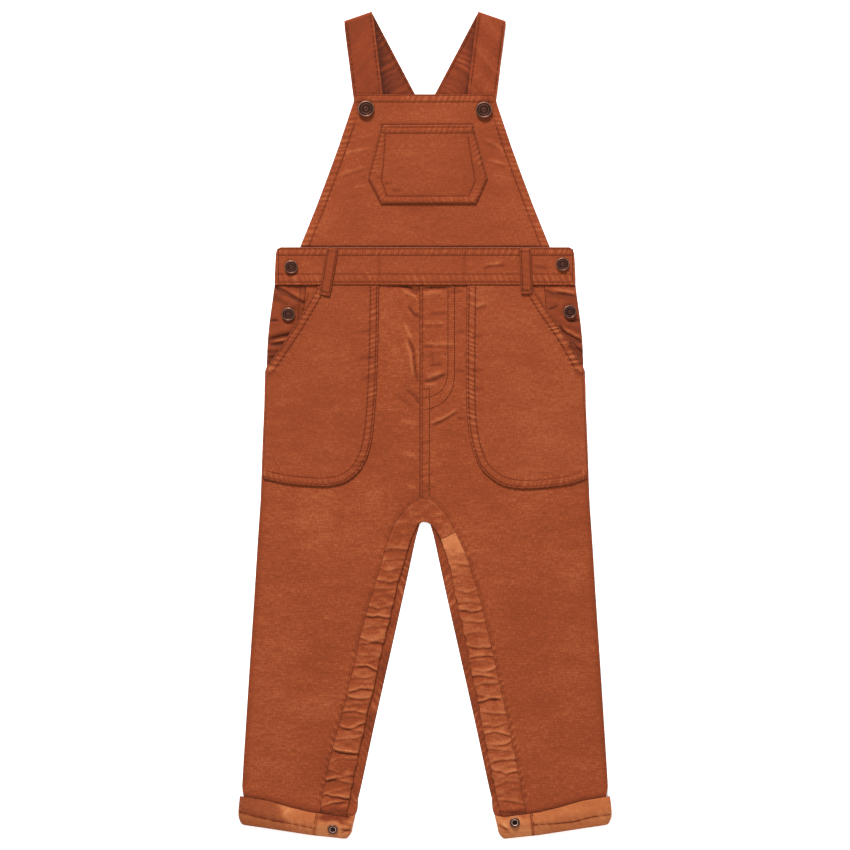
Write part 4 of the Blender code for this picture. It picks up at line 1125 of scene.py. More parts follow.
# Columns across a piece, and the largest space between its rows.
FRONT_COLUMNS = 100
FRONT_SPACING = 1.3
BACK_COLUMNS = 36
BACK_SPACING = 3.4
BACK_LEVELS = (WAIST_LOW_Y - SEAM, 90.0, 60.0, 50.0, 46.0, 20.0, -10.0, -38.0)
BACK_BAND_COLUMNS = 18
BACK_BAND_SPACING = 1.2
FRONT_BAND_COLUMNS = 24
FRONT_BAND_SPACING = 0.95
FRONT_BAND_WIDTH = 20.5
PLACKET_COLUMNS = 30
PLACKET_SPACING = 0.9
BIB_COLUMNS = 142
BIB_ROWS = 112
BIB_POCKET_COLUMNS = 98
BIB_POCKET_ROWS = 76

# The hip opening lies above and outside of these.
HIP_LOW_Y = 48.0
HIP_INNER_X = 88.0
# The foot of the left band, where the turn-up shades it.
BAND_FOOT_Y = -332.3


def clear_of_buttons(x, y, reach=5.5):
    """0 where a button stands and 1 away from it."""
    clear = np.ones_like(x)
    for _, at_x, at_y, _, _ in BUTTONS:
        clear *= ease((np.hypot(x - at_x, y - at_y) - reach) / 3.5)
    return clear


def cuff_shade(x, y):
    """Painted shadow just above a turn-up, whose edge the leg runs into."""
    above = y - read(CUFF_EDGES, np.abs(x), 2)
    return -0.55 * np.exp(-np.maximum(above - 1.0, 0.0) / 2.2) * (y < -300.0)


def front_panel(side, label, inseam, pocket_line, mouth):
    """The front of a leg and of one side of the seat; the right one is cut with the mock fly."""
    centre = CENTRE_SEAM_X + side * 0.5 * SEAM
    levels = [(side * (read(PLACKET_INNER, y) - SEAM), y) for y in PLACKET_LEVELS]
    levels += [(side * read(SIDE, y), y) for y in SEAT_LEVELS]
    rows = leg_panel(levels, centre, inseam, len(inseam) - 3, side, FRONT_COLUMNS, FRONT_SPACING)
    seam = through(inseam, 4 * len(inseam))[:, :2]
    hems = [Hem(seam, (2.0,), 2.8, 0.3, 6.4, ((0, 0.1), (60, 0.25), (140, 0.35), (290, 0.5)), 31)]
    if side > 0:
        fly_edge = ((centre, 121.0), (centre, -64.0))
        hems.append(Hem(fly_edge, (1.8,), 2.6, 0.2, 6.0, ((0, 0.35), (90, 0.3), (190, 0.25)), 37))
    outline = even(pocket_line, 1.5)

    def folds(x, y):
        from_pocket = -side * from_line(outline, x, y)[1]
        from_mouth = -side * from_line(mouth, x, y)[1]
        under = ease((2.5 + from_pocket) / 2.0) * ease((2.5 + from_mouth) / 2.0)
        shown = (1.0 - under) * (1.0 - climb(x, y) / LAYER)
        height, tone = relief(x, y, 51 + int(side), hems, FLY_FOLDS + HIP_FOLDS)
        # Painted shade inside the hip opening, and along the outer side where the leg rolls down.
        hip = ease((from_mouth + 2.0) / 1.5) * (y > HIP_LOW_Y) * (np.abs(x) > HIP_INNER_X)
        side_shade = near(read(SIDE, y) - np.abs(x), 3.5) * (y < 40.0)
        tone = tone - 0.3 * hip - 0.3 * side_shade
        return height * shown * clear_of_buttons(x, y), tone * shown + cuff_shade(x, y)

    at_centre = np.abs(rows[..., 0] - centre) < 0.5
    made, top = shell(f"front_{label}", rows, front_low, WALL, folds, RUST_LEG, "rust_leg_cloth",
                      painted_edge_shade=np.where(at_centre, -1.0, -0.3), turned_in=0.15, rounding=0.12)
    return top


def back_panel(side, label):
    """The back of a leg and of one side of the seat, on the floor."""
    inseam = back_inseam(side)
    levels = [(side * read(SIDE, y), y) for y in BACK_LEVELS]
    rows = leg_panel(levels, side * 0.5 * SEAM, inseam, len(inseam) - 4, side, BACK_COLUMNS,
                     BACK_SPACING)
    made, _ = shell(f"back_{label}", rows, climb, WALL,
                    lambda x, y: (0.0 * x, 0.4 * washed(x, y, 61)), RUST_LEG, "rust_leg_cloth")


def back_band(side, label):
    """The back's inseam band, whose puckered edge shows beside the front one."""
    stations = through(back_inseam(side), 120)
    outward = stations[:, 2:] - stations[:, :2]
    y = stations[:, 3]
    wider = 3.0 * ease((-320.0 - y) / 12.0) * ease((y + 337.5) / 1.5)
    stations[:, 2:] += outward * (wider / np.hypot(*outward.T))[:, None]
    edge = stations[:, 2:]
    rows = closer(level_rows(stations[:, :2], edge, BACK_BAND_COLUMNS), BACK_BAND_SPACING)

    def folds(x, y):
        along, left = from_line(edge, x, y)
        away = np.abs(left)
        wave = pucker(along + 0.8 * away + 2.0 * ripple(x, y, 5.0, 8.0, 73), 6.4, 71 + int(side))
        wave = wave * ease((along - 18.0) / 30.0) * (0.6 + 0.5 * ripple(x, y, 6.0, 14.0, 75))
        free = ease((9.0 - away) / 4.0) * (1.0 - climb(x, y) / LAYER)
        patches = 0.5 * ripple(x, y, 7.0, 9.0, 77 + int(side))
        # Painted light: highlights on the pucker ridges and shade over the band along its free
        # edge; the patches are random tone.
        return 0.6 * wave * free, (1.1 * wave - 0.3 + 0.6 * patches) * free

    made, _ = shell(f"inseam_band_back_{label}", rows, climb, WALL, folds, RUST_LEG,
                    "rust_leg_cloth")


def gathered(x, y, off, gathers):
    """The creases across a front band, each with a sag, a tilt, two ends and a size of its own."""
    total = np.zeros_like(x)
    for index, (level, height) in enumerate(gathers):
        sag = 2.6 * math.sin(2.3 * index + 0.6) * (1.0 - off * off)
        tilt = 1.8 * math.sin(3.1 * index) * off
        above = y - level - tilt - sag + 0.8 * uneven(x, 5.0, index)
        ends = ease(1.6 - np.abs(off - 0.3 * math.sin(2.4 * index)))
        size = height * (0.8 + 0.4 * math.sin(1.9 * index))
        total += size * (0.8 * crest(above - 1.1, 1.3) - 1.05 * crest(above + 0.8, 0.8)) * ends
    return total


def front_band(side, label, gathers):
    """A front inseam band: sewn down along the panel, gathered, and free at its other edge."""
    rows = even(band_rows(side), FRONT_BAND_SPACING, smooth=False)
    distance = np.abs(side * GUSSET_LENGTH + lengths(rows))[:, None]
    inward = rows[:, 2:] - rows[:, :2]
    inward /= np.hypot(*inward.T)[:, None]
    rows[:, 2:] += 0.6 * uneven(distance, 6.0, 83) * ease((distance - 40.0) / 40.0) * inward
    rows[:, :2] -= 0.7 * SEAM * inward
    flat_rows = level_rows(rows[:, :2], rows[:, 2:], FRONT_BAND_COLUMNS)
    x, y = flat_rows[..., 0], flat_rows[..., 1]
    share = np.linspace(0.0, 1.0, FRONT_BAND_COLUMNS + 1)[None]
    shown = 1.0 - 0.75 * climb(x, y) / LAYER
    base = 0.45 * gather(distance) * (0.35 + 0.65 * share) * shown
    creases = gathered(x, y, 2.0 * share - 1.0, gathers)
    creases = 1.25 * (creases + 0.2 * ripple(x, y, 6.0, 3.2, 87 + int(side))) * shown
    soft = washed(x, y, 81 + int(side), 1.2) * shown
    edge = 0.5 * (1.0 - bulge((1.0 - share) * FRONT_BAND_WIDTH / 1.2))
    sink = 0.25 * (1.0 - bulge(share * FRONT_BAND_WIDTH / 1.6))
    # Painted shadow where the turn-up meets the band; on the right band a lighter stretch near its
    # top.
    light = cuff_shade(x, y) - 0.5 * near(y - BAND_FOOT_Y, 2.6)
    if side > 0:
        light = light + 0.12 + 1.2 * ease(distance / 4.0) * ease((90.0 - distance) / 60.0)
    # Creases, gathers and unevenness get painted highlight on ridges and painted shade in troughs,
    # as do the seam's groove and the free edge.
    tone = 0.85 * creases + 0.6 * soft + 0.25 * base - 0.8 * sink - 0.4 * edge + light
    made, _ = shell(f"inseam_band_front_{label}", flat_rows, lambda x, y: front_low(x, y) + base,
                    WALL, lambda x, y: (creases + soft - edge - sink, tone), RUST_LEG,
                    "rust_leg_cloth", painted_edge_shade=np.where(share > 0.5, -1.0, -0.3),
                    turned_in=0.0, rounding=0.12)


def placket(side, label):
    """The wedge of a side placket that shows inside the hip opening."""
    y = np.array(PLACKET_LEVELS)
    outer = np.stack([side * read(SIDE, y), y], axis=1)
    inner = np.stack([side * read(PLACKET_INNER, y), y], axis=1)
    rows = closer(level_rows(outer, inner, PLACKET_COLUMNS), PLACKET_SPACING)

    def folds(x, y):
        height, tone = relief(x, y, 91 + int(side), (), HIP_FOLDS, 1.6)
        clear = clear_of_buttons(x, y)
        # Painted shade over the whole placket inside the hip opening, and its relief's painted
        # light made stronger.
        return 1.4 * height * clear, 1.5 * tone * clear - 0.3

    made, top = shell(f"side_placket_{label}", rows, front_low, WALL, folds, RUST, "rust_cloth",
                      painted_edge_shade=-0.4, turned_in=0.0, rounding=0.12)
    return top


def pocket(side, label, outline, mouth, puckers, mouth_puckers):
    """A patch pocket with a slanted mouth, sewn on with two rows."""
    bottom = even(outline[: POCKET_CORNER + 1], 1.1)
    inner = even(outline[POCKET_CORNER:], 1.1)
    top_edge = level_rows([mouth[0]], [inner[-1][:2]], len(bottom) - 1)[0]
    outer = even(np.concatenate([np.array(outline[:1]), np.array(mouth)[::-1]]), 0.5, False)
    outer = outer[np.round(np.linspace(0, len(outer) - 1, len(inner))).astype(int)]
    rows = patch(bottom, top_edge, outer, inner)
    line = even(outline, 1.0)
    mouth_line = even(mouth, 1.0)
    sewn = Hem(line, (2.0, 7.4), 8.3, 0.4, 4.6, puckers, 101 + int(side))
    slanted = Hem(mouth_line, (1.3, 6.5), 7.4, 0.4, 4.2, mouth_puckers, 111 + int(side))

    def folds(x, y):
        height, tone = relief(x, y, 121 + int(side), (sewn, slanted), POCKET_FOLDS, 0.75)
        # Painted light: the right pocket a little lighter than the left.
        return height, tone + (0.08 if side > 0 else 0.0)

    made, top = shell(f"pocket_{label}", rows, pocket_low, WALL, folds, RUST, "rust_cloth")
    seams = [
        beside_line(line, -side * sewn.rows[0]),
        beside_line(part_of(line, 4.0), -side * sewn.rows[1]),
        beside_line(mouth_line, -side * slanted.rows[0]),
        beside_line(part_of(mouth_line, 3.0), -side * slanted.rows[1]),
    ]
    sew(f"pocket_{label}_stitching", seams, top, "rust_cloth")


def waistband(label, low, wall, half, folds, spacing, taller):
    """A waistband, with corners that draw in and edges `taller` than the solid's."""
    y, inset = np.array(WAIST_CORNERS).T
    y = y + taller * np.sign(y - y.mean())
    rows = level_rows(np.stack([inset - half, y], 1), np.stack([half - inset, y], 1),
                      round(2.0 * half / spacing))
    made, top = shell(f"waistband_{label}", closer(rows, spacing), low, wall, folds, RUST,
                      "rust_cloth", painted_edge_shade=-0.8, turned_in=0.0, rounding=0.2)
    return top


def waist_folds(x, y):
    """The relief and tone of the front waistband: a hem with two rows along each edge."""
    upper = Hem(((-129, WAIST_TOP_Y), (129, WAIST_TOP_Y)), (1.5, 6.9), 7.8, 0.2, 5.6,
                ((0, 0.25), (130, 0.2), (258, 0.3)), 131)
    lower = Hem(((-129, WAIST_LOW_Y), (129, WAIST_LOW_Y)), (2.1, 8.8), 9.6, 0.2, 5.2,
                ((0, 0.3), (110, 0.18), (258, 0.3)), 137)
    height, tone = relief(x, y, 139, (upper, lower), WAIST_FOLDS, 0.8)
    clear = clear_of_buttons(x, y)
    return height * clear, tone * clear


def bib():
    """The bib, over the straps, with a hem at its top and at each side."""
    y = np.linspace(WAIST_TOP_Y, BIB_TOP_Y, BIB_ROWS)
    half = read(BIB_SIDE, y)
    rows = level_rows(np.stack([-half, y], 1), np.stack([half, y], 1), BIB_COLUMNS)
    right = even([(half, y) for y, half in BIB_SIDE], 1.0, False)
    left = right * (-1.0, 1.0)
    corner = BIB_SIDE[0][1]
    hems = [
        Hem(right, (6.9,), 7.9, 0.3, 4.8, ((0, 0.15), (30, 0.35), (150, 0.3)), 141),
        Hem(left, (6.9,), 7.9, 0.3, 4.8, ((0, 0.15), (30, 0.35), (150, 0.3)), 149),
        Hem(((-corner, BIB_TOP_Y), (corner, BIB_TOP_Y)), (1.0, 6.6), 7.6, 0.3, 5.0,
            ((0, 0.2), (120, 0.2)), 151),
        Hem(((-108, WAIST_TOP_Y), (108, WAIST_TOP_Y)), (), 1.2, 0.0, 8.0,
            ((0, 0.0), (216, 0.0)), 153),
    ]
    pocket_edge = np.array(BIB_POCKET + BIB_POCKET[:1])
    pocket_top_y = BIB_POCKET[0][1] + 0.5

    def folds(x, y):
        height, tone = relief(x, y, 157, hems, BIB_FOLDS, 0.8)
        shown = 1.0 - ease((from_line(pocket_edge, x, y)[1] + 2.0) / 2.0)
        # Painted shadow in a narrow line along the bib pocket's gaping mouth.
        gape = near(y - pocket_top_y, 0.8) * (np.abs(x - 1.5) < 40.0)
        return height * shown * clear_of_buttons(x, y, 6.5), tone * shown - 0.7 * gape

    made, top = shell("bib", rows, bib_low, WALL, folds, RUST, "rust_cloth")
    end = corner - 0.9
    seams = [((-end, y), (end, y)) for y in (BIB_TOP_Y - 1.0, BIB_TOP_Y - 6.6)]
    seams += [((x, 282.6), (x, 279.4)) for x in (-end, end)]
    seams += [part_of(beside_line(right, -6.9), 26.0), part_of(beside_line(left, 6.9), 26.0)]
    sew("bib_stitching", seams, top, "rust_cloth")


def resampled(edge, count):
    """The same line in a given number of points."""
    fit = np.linspace(0.0, len(edge) - 1.0, count)
    return np.stack([np.interp(fit, np.arange(len(edge)), column) for column in edge.T], axis=1)


def bib_pocket():
    """The six-sided pocket on the bib, with a hemmed mouth."""
    top_left, left, low_left, low_right, right, top_right = BIB_POCKET
    outer = resampled(even((low_left, left, top_left), 1.0, False), BIB_POCKET_ROWS)
    inner = resampled(even((low_right, right, top_right), 1.0, False), BIB_POCKET_ROWS)
    bottom = level_rows([low_left], [low_right], BIB_POCKET_COLUMNS)[0]
    top_edge = level_rows([top_left], [top_right], BIB_POCKET_COLUMNS)[0]
    rows = patch(bottom, top_edge, outer, inner)
    outline = even(BIB_POCKET, 1.0, False)
    sewn = Hem(outline, (1.3,), 5.4, 0.3, 4.6, ((0, 0.3), (90, 0.25), (210, 0.3)), 163)
    mouth = Hem((top_left, top_right), (2.0, 7.0), 7.9, 0.3, 5.0, ((0, 0.2), (79, 0.25)), 167)

    def folds(x, y):
        height, tone = relief(x, y, 169, (sewn, mouth), BIB_POCKET_FOLDS, 0.7)
        # Painted shade in the groove of the inner seam.
        sunk = near(from_line(BIB_POCKET_SEAM, x, y)[1], STITCH_REACH)
        return height - STITCH_SINK * sunk, tone - 0.2 * sunk

    made, top = shell("bib_pocket", rows, bib_pocket_low, WALL, folds, RUST, "rust_cloth")
    seams = [
        beside_line(outline, sewn.rows[0]),
        even(BIB_POCKET_SEAM, 1.0, False),
        ((-37.0, 256.2), (40.6, 256.2)),
        ((-38.0, 251.1), (41.6, 251.1)),
    ]
    sew("bib_pocket_stitching", seams, top, "rust_cloth")


# A strap's cross section: places from -1 to 1, how far from an edge they are, and its stitch rows.
ACROSS = np.linspace(-1.0, 1.0, 27)
HALF_STRAP = 0.5 * STRAP_WIDTH
FROM_EDGE = HALF_STRAP * (1.0 - np.abs(ACROSS))
STRAP_ROW_IN = 2.1
STRAP_ROW = near(FROM_EDGE - STRAP_ROW_IN, 0.9)
LYING = 0.5 * STRAP_WALL
STRAP_ROW_SPACING = 1.1


def strap_fold(side):
    """The middle of a strap's fold at the shoulder."""
    return np.array([side * -STRAP_FOLD_X, STRAP_FOLD_Y])


def strap_way(side, angle):
    """The direction in which a strap leaves its fold."""
    return np.array([-side * math.sin(angle), -math.cos(angle)])


def strap_reach(side, tilt, angle):
    """From the middle of a strap to its edge, along a tilted row."""
    reach = HALF_STRAP / math.cos(tilt - angle)
    return np.array([side * -reach * math.cos(tilt), reach * math.sin(tilt)])


def beside_strap(x, y, side, angle):
    """How far points are beyond the edge of a strap."""
    start, way = strap_fold(side), strap_way(side, angle)
    return np.abs((x - start[0]) * way[1] - (y - start[1]) * way[0]) - HALF_STRAP


def strap_front_middle(side, x, y):
    """The height of the wall's middle in front: on the strap's own back, then down beside it."""
    clear = np.maximum(beside_strap(x, y, side, STRAP_BACK_ANGLE) - 0.5, 0.0)
    return np.maximum(LYING, LYING + 2.0 * STRAP_FOLD_RADIUS - STRAP_SETTLE * clear)


def strap_back_middle(side, x, y):
    """The height of the wall's middle behind, where the right strap crosses over the left one."""
    if side < 0:
        return np.full_like(x, LYING)
    clear = np.maximum(beside_strap(x, y, -side, STRAP_BACK_ANGLE) - STRAP_CLEAR, 0.0)
    return np.maximum(LYING, LYING + STRAP_WALL + SEAM - STRAP_SETTLE * clear)


def strap_front_rows(side, seed):
    """Rows of (x, y, z) with their tones, from under the bib up to the fold."""
    reach = strap_reach(side, STRAP_FOLD_TILT, STRAP_FRONT_ANGLE)
    puckered = ease((6.0 - FROM_EDGE) / 4.0)
    rounded = -0.22 * (1.0 - bulge(FROM_EDGE / 1.2)) - 0.12 * STRAP_ROW
    # Painted highlight along the strap's inner edge, and painted shade over the whole left strap.
    lit_inner_edge = near(FROM_EDGE, 0.9) * (ACROSS * side < 0.0)
    shade = 0.0 if side > 0 else -0.22
    for distance in np.linspace(STRAP_FRONT_LENGTH, 1.0, 82):
        middle = strap_fold(side) + strap_way(side, STRAP_FRONT_ANGLE) * distance
        x, y = middle[0] + ACROSS * reach[0], middle[1] + ACROSS * reach[1]
        shown = ease((middle[1] - BIB_TOP_Y - 1.0) / 4.0)
        at = distance + 0.0 * ACROSS
        wave = pucker(at, 4.8, seed) * puckered * 0.22 + 0.1 * uneven(at + 9.0 * ACROSS, 6.0, seed)
        # Painted highlight on the pucker ridges and painted shade in the stitch grooves.
        tone = -0.3 * STRAP_ROW + 1.5 * (wave - 0.09 * puckered) + 0.5 * lit_inner_edge + shade
        height = strap_front_middle(side, x, y) + (wave + rounded + 0.05) * shown
        yield np.stack([x, y, height], axis=1), tone


def strap_turn_rows(side):
    """Rows round the fold at the shoulder."""
    outward = np.array([side * math.sin(STRAP_FOLD_TILT), math.cos(STRAP_FOLD_TILT)])
    reach = strap_reach(side, STRAP_FOLD_TILT, 0.5 * (STRAP_FRONT_ANGLE + STRAP_BACK_ANGLE))
    for angle in np.linspace(0.0, math.pi, 9):
        middle = strap_fold(side) + outward * STRAP_FOLD_RADIUS * math.sin(angle)
        x, y = middle[0] + ACROSS * reach[0], middle[1] + ACROSS * reach[1]
        height = LYING + STRAP_FOLD_RADIUS * (1.0 + math.cos(angle))
        yield np.stack([x, y, np.full_like(x, height)], axis=1), np.full_like(x, -0.05)


def strap_back_rows(side, seed):
    """Rows from the fold down the back to the waistband, the last of them level."""
    length = (STRAP_FOLD_Y - WAIST_TOP_Y - SEAM) / math.cos(STRAP_BACK_ANGLE)
    plain_shade, front_shade = (0.3, 0.9) if side < 0 else (0.05, 0.6)
    for distance in np.linspace(1.0, length, 190):
        tilt = STRAP_FOLD_TILT * (1.0 - float(ease((distance - 0.6 * length) / (0.4 * length))))
        reach = strap_reach(side, tilt, STRAP_BACK_ANGLE)
        middle = strap_fold(side) + strap_way(side, STRAP_BACK_ANGLE) * distance
        x, y = middle[0] + ACROSS * reach[0], middle[1] + ACROSS * reach[1]
        shown = ease((middle[1] - BIB_TOP_Y + 4.0) / 10.0)
        at = distance + 3.0 * ACROSS
        wave = pucker(at + 1.6 * uneven(14.0 * ACROSS, 4.0, seed + 9), 5.6, seed + 5)
        wave = 0.3 * wave * (0.6 + 0.4 * uneven(at + 6.0 * ACROSS, 8.0, seed + 7))
        beside = np.maximum(beside_strap(x, y, side, STRAP_FRONT_ANGLE), 0.0)
        # Painted light: highlight on the pucker ridges, shade in the stitch grooves, and shade over
        # the back, deepest beside the front strap.
        tone = 3.2 * (wave - 0.1) - 0.2 * STRAP_ROW
        tone = tone - plain_shade - front_shade * np.exp(-beside / 4.5)
        height = strap_back_middle(side, x, y) + wave * shown
        yield np.stack([x, y, height], axis=1), tone


def strap_seams(side, angle, spans):
    """A row of stitches in from each edge of a strap: where it is across, its start and end."""
    reach = strap_reach(side, STRAP_FOLD_TILT, angle) * (1.0 - STRAP_ROW_IN / HALF_STRAP)
    middle, way = strap_fold(side), strap_way(side, angle)
    return [
        np.array([middle + way * start + off * reach, middle + way * end + off * reach])
        for off, start, end in spans
    ]


def strap(side, label):
    """A shoulder strap: up the front, over at the shoulder, and across the back."""
    seed = 171 + int(side)
    rows = [*strap_front_rows(side, seed), *strap_turn_rows(side), *strap_back_rows(side, seed)]
    points, tones = (np.array(column) for column in zip(*rows))
    grain = np.zeros_like(points)
    grain[..., 0] = ACROSS * HALF_STRAP
    grain[..., 1] = STRAP_ROW_SPACING * np.arange(len(points))[:, None]
    bm = grid(points, tones, None, grain)
    made = ring_shell(f"strap_{label}", bm, STRAP_WALL, RUST_STRAP, "rust_strap_cloth")
    sew(f"strap_{label}_stitching",
        strap_seams(side, STRAP_FRONT_ANGLE, ((-1.0, 4.0, 62.0), (1.0, 4.0, 62.0))),
        lambda x, y: strap_front_middle(side, x, y) + LYING - 0.02, "rust_strap_cloth")
    sew(f"strap_{label}_back_stitching",
        strap_seams(side, STRAP_BACK_ANGLE, (
            (-1.0, 6.0, 84.0) if side > 0 else (-1.0, 16.0, 66.0),
            (1.0, 16.0, 66.0) if side > 0 else (1.0, 6.0, 84.0),
        )),
        lambda x, y: strap_back_middle(side, x, y) + LYING + 0.1, "rust_strap_cloth")


CUFF_ROWS = 44
CUFF_COLUMNS = 92
CUFF_TURN_STEPS = 8


def cuff_rows(side):
    """Rows of points round a turn-up: along its front, round, along its back and round again."""
    rows = []
    for up, front, back, ring_outer, ring_inner in through(CUFF_RINGS, CUFF_ROWS):
        radius, middle = 0.5 * (front - back), 0.5 * (front + back)
        outer, inner = ring_outer - radius, ring_inner + radius
        level = np.linspace(outer, inner, CUFF_COLUMNS + 1)
        angle = np.pi * np.arange(1, CUFF_TURN_STEPS) / CUFF_TURN_STEPS
        x = np.concatenate([
            level, inner - radius * np.sin(angle), level[::-1],
            outer + radius * np.sin(angle), level[:1],
        ])
        z = np.concatenate([
            np.full_like(level, front), middle + radius * np.cos(angle),
            np.full_like(level, back), middle - radius * np.cos(angle), [front],
        ])
        hem, top = read(CUFF_EDGES, x, 1), read(CUFF_EDGES, x, 2)
        rows.append(np.stack([side * x, hem + up * (top - hem) / CUFF_HEIGHT, z], axis=1))
    return np.array(rows)


def cuff_folds(side, rows, ring, seam, placket_line):
    """The relief and tone of a turn-up's front; the tone is painted light and shade."""
    x, y, z = np.moveaxis(rows, -1, 0)
    front_face = ease((z - 4.0) / 2.0) * ease((np.arange(CUFF_ROWS)[:, None] - 14.0) / 6.0)
    from_ring = np.hypot(x - ring[0], y - ring[1])
    clear = front_face * ease((from_ring - 5.5) / 3.0)
    along, above = from_line(seam, x, y)
    edge = from_line(placket_line, x, y)[1]
    sewn, step = near(above, 0.9), near(edge, 0.9)
    height = 0.25 * pucker(along + 0.3 * y, 7.5, 181 + int(side)) * near(above, 5.0) - 0.2 * sewn
    height += 0.28 * ease(-side * edge / 1.2 + 0.5) * (np.abs(x) < 96.0) - 0.2 * step
    height += washed(x, y, 185 + int(side))
    creases = FOLD_DEPTH * folded(x, y, CUFF_FOLDS) * clear
    # Painted highlight on ridges, painted shade in the seam's groove, at the placket's edge and in
    # creases.
    tone = 0.9 * height - 0.35 * sewn - 0.5 * step + 0.8 * creases
    # Painted shadow under the leg's edge at the inner end, and inside the popper ring.
    droop_shadow = np.exp(-(((side * x - 78.0) / 13.0) ** 4)) * near(y + 337.4, 3.0) * clear
    ring_hole_shadow = ease((2.3 - from_ring) / 0.8) * front_face
    if side > 0:
        # Painted shadow in the opening beside the placket.
        slit_shadow = near(edge, 0.7) * front_face
        tone = tone - 0.5 * droop_shadow - 1.3 * slit_shadow - 1.5 * ring_hole_shadow
    else:
        # Painted shade over the left turn-up's outer end, most above its stitch row.
        shaded_outer_end = ease((-116.0 - 0.5 * (y + 340.0) - x) / 7.0)
        shade = (0.35 + 0.5 * ease(above / 1.5 + 0.5)) * shaded_outer_end
        tone = tone - 1.7 * droop_shadow - shade - 1.5 * ring_hole_shadow
    return height * clear + 0.6 * creases, tone


def cuff(side, label, seam, placket_line):
    """A flattened ring round the end of the leg, with its hem turned in."""
    rows = cuff_rows(side)
    ring = next(row[1:3] for row in RINGS if row[0].endswith(label))
    fold, tone = cuff_folds(side, rows, ring, seam, placket_line)
    rows[..., 2] += fold
    bm = grid(rows, tone)
    bmesh.ops.remove_doubles(bm, verts=bm.verts, dist=MERGE * MM)
    made = ring_shell(f"cuff_{label}", bm, WALL, RUST_INSIDE, "turned_up_cloth")
    beside_placket = beside_line(placket_line, side * 1.6)
    sew(f"cuff_{label}_stitching", [seam, beside_placket], cuff_top, "turned_up_cloth")


def belt_loop(name, top_x, top_y, low_x, low_y, width):
    """A belt loop, held at both ends and standing off the waistband between them."""
    start = np.array([top_x, top_y])
    along = np.array([low_x - top_x, low_y - top_y])
    length = math.hypot(*along)
    reach = np.array([-along[1], along[0]]) / length * 0.5 * width
    middle = start + along * np.linspace(0.0, 1.0, 52)[:, None]

    def measured(x, y):
        down = ((x - top_x) * along[0] + (y - top_y) * along[1]) / length
        off = ((x - top_x) * along[1] - (y - top_y) * along[0]) / length
        return down, off

    def loop_low(x, y):
        share = np.clip(measured(x, y)[0] / length, 0.0, 1.0)
        return waist_low(x, y) + FRONT_WAIST_WALL + SEAM + LOOP_STAND_OFF * np.sin(np.pi * share)

    def folds(x, y):
        down, off = measured(x, y)
        edge = 0.5 * width - np.abs(off)
        ends = np.minimum(down, length - down)
        sunk = near(edge - 1.6, 0.8) + near(ends - 3.4, 0.9)
        wave = 0.3 * pucker(down + 0.4 * off, 6.5, 191 + int(top_x))
        rounded = 0.4 * (1.0 - bulge(edge / 1.2)) + 0.4 * (1.0 - bulge(ends / 1.2))
        # Painted light: highlight on the pucker ridges, and painted shade over the loop and in its
        # stitch grooves.
        return 0.22 * wave - rounded - 0.25 * sunk, 0.8 * wave - 0.15 - 0.3 * sunk

    made, top = shell(name, level_rows(middle - reach, middle + reach, 14), loop_low, LOOP_WALL,
                      folds, RUST, "rust_cloth")
    inset = reach * (1.0 - 3.2 / width)
    high, low = start + along * 0.06, start + along * 0.94
    tack = start + along * (1.0 - 3.4 / length)
    seams = [(high - inset, low - inset), (high + inset, low + inset), (tack - inset, tack + inset)]
    sew(f"{name}_stitching", seams, top, "rust_cloth")


# Sections of the metal pieces: radius and height as shares of the radius, and tone from rubbing and
# patina.
BUTTON_FOOT = 0.55
BUTTON_SECTION = (
    (0.0, 0.0, 0.0), (BUTTON_FOOT, 0.0, 0.0), (BUTTON_FOOT, 0.14, 0.0), (0.93, 0.15, 0.2),
    (1.0, 0.21, 0.6), (1.0, 0.27, 0.7), (0.96, 0.34, 0.8), (0.9, 0.365, 0.8), (0.83, 0.34, 0.4),
    (0.79, 0.28, -0.4), (0.74, 0.265, -0.5), (0.66, 0.285, 0.2), (0.6, 0.295, 0.5),
    (0.54, 0.28, 0.0), (0.46, 0.262, -0.4), (0.3, 0.275, 0.1), (0.2, 0.3, 0.5),
    (0.12, 0.295, 0.2), (0.0, 0.285, 0.0),
)
# On a popper ring the tone also holds painted light: a highlight on its inner rim, shade in its
# hole.
RING_SECTION = (
    (0.0, 0.0, -0.6), (0.88, 0.0, 0.0), (0.98, 0.08, 0.3), (1.0, 0.16, 0.5), (0.94, 0.24, 0.7),
    (0.84, 0.265, 0.3), (0.76, 0.24, -0.4), (0.69, 0.235, 0.1), (0.62, 0.27, 1.0),
    (0.54, 0.26, 1.2), (0.46, 0.18, 0.4), (0.43, 0.08, -0.6), (0.41, 0.04, -0.8), (0.0, 0.04, -0.8),
)
RING_RADIUS = 4.4
RING_HALF_HEIGHT = 0.55
METAL_STEPS = 56


def turned(name, section, x, y, low, radius, lean):
    """Stamped metal turned from its section, leaning with the cloth that carries it."""
    bm = bmesh.new()
    rub_and_painted_light_layer = bm.verts.layers.float.new("tone")
    verts = []
    for share, up, rub_and_painted_light in section:
        verts.append(bm.verts.new((share * radius * MM, 0.0, up * radius * MM)))
        verts[-1][rub_and_painted_light_layer] = rub_and_painted_light
    edges = [bm.edges.new(pair) for pair in zip(verts, verts[1:])]
    bmesh.ops.spin(bm, geom=verts + edges, cent=(0, 0, 0), axis=(0, 0, 1), angle=2.0 * math.pi,
                   steps=METAL_STEPS, use_merge=True)
    bmesh.ops.remove_doubles(bm, verts=bm.verts, dist=MERGE * MM)
    bmesh.ops.recalc_face_normals(bm, faces=bm.faces)
    bmesh.ops.transform(bm, matrix=Matrix.Translation(Vector((x, y, low)) * MM) @ lean,
                        verts=bm.verts)
    return add_piece(f"{name}_metal", bm, [BRONZE], "antique_bronze", name)


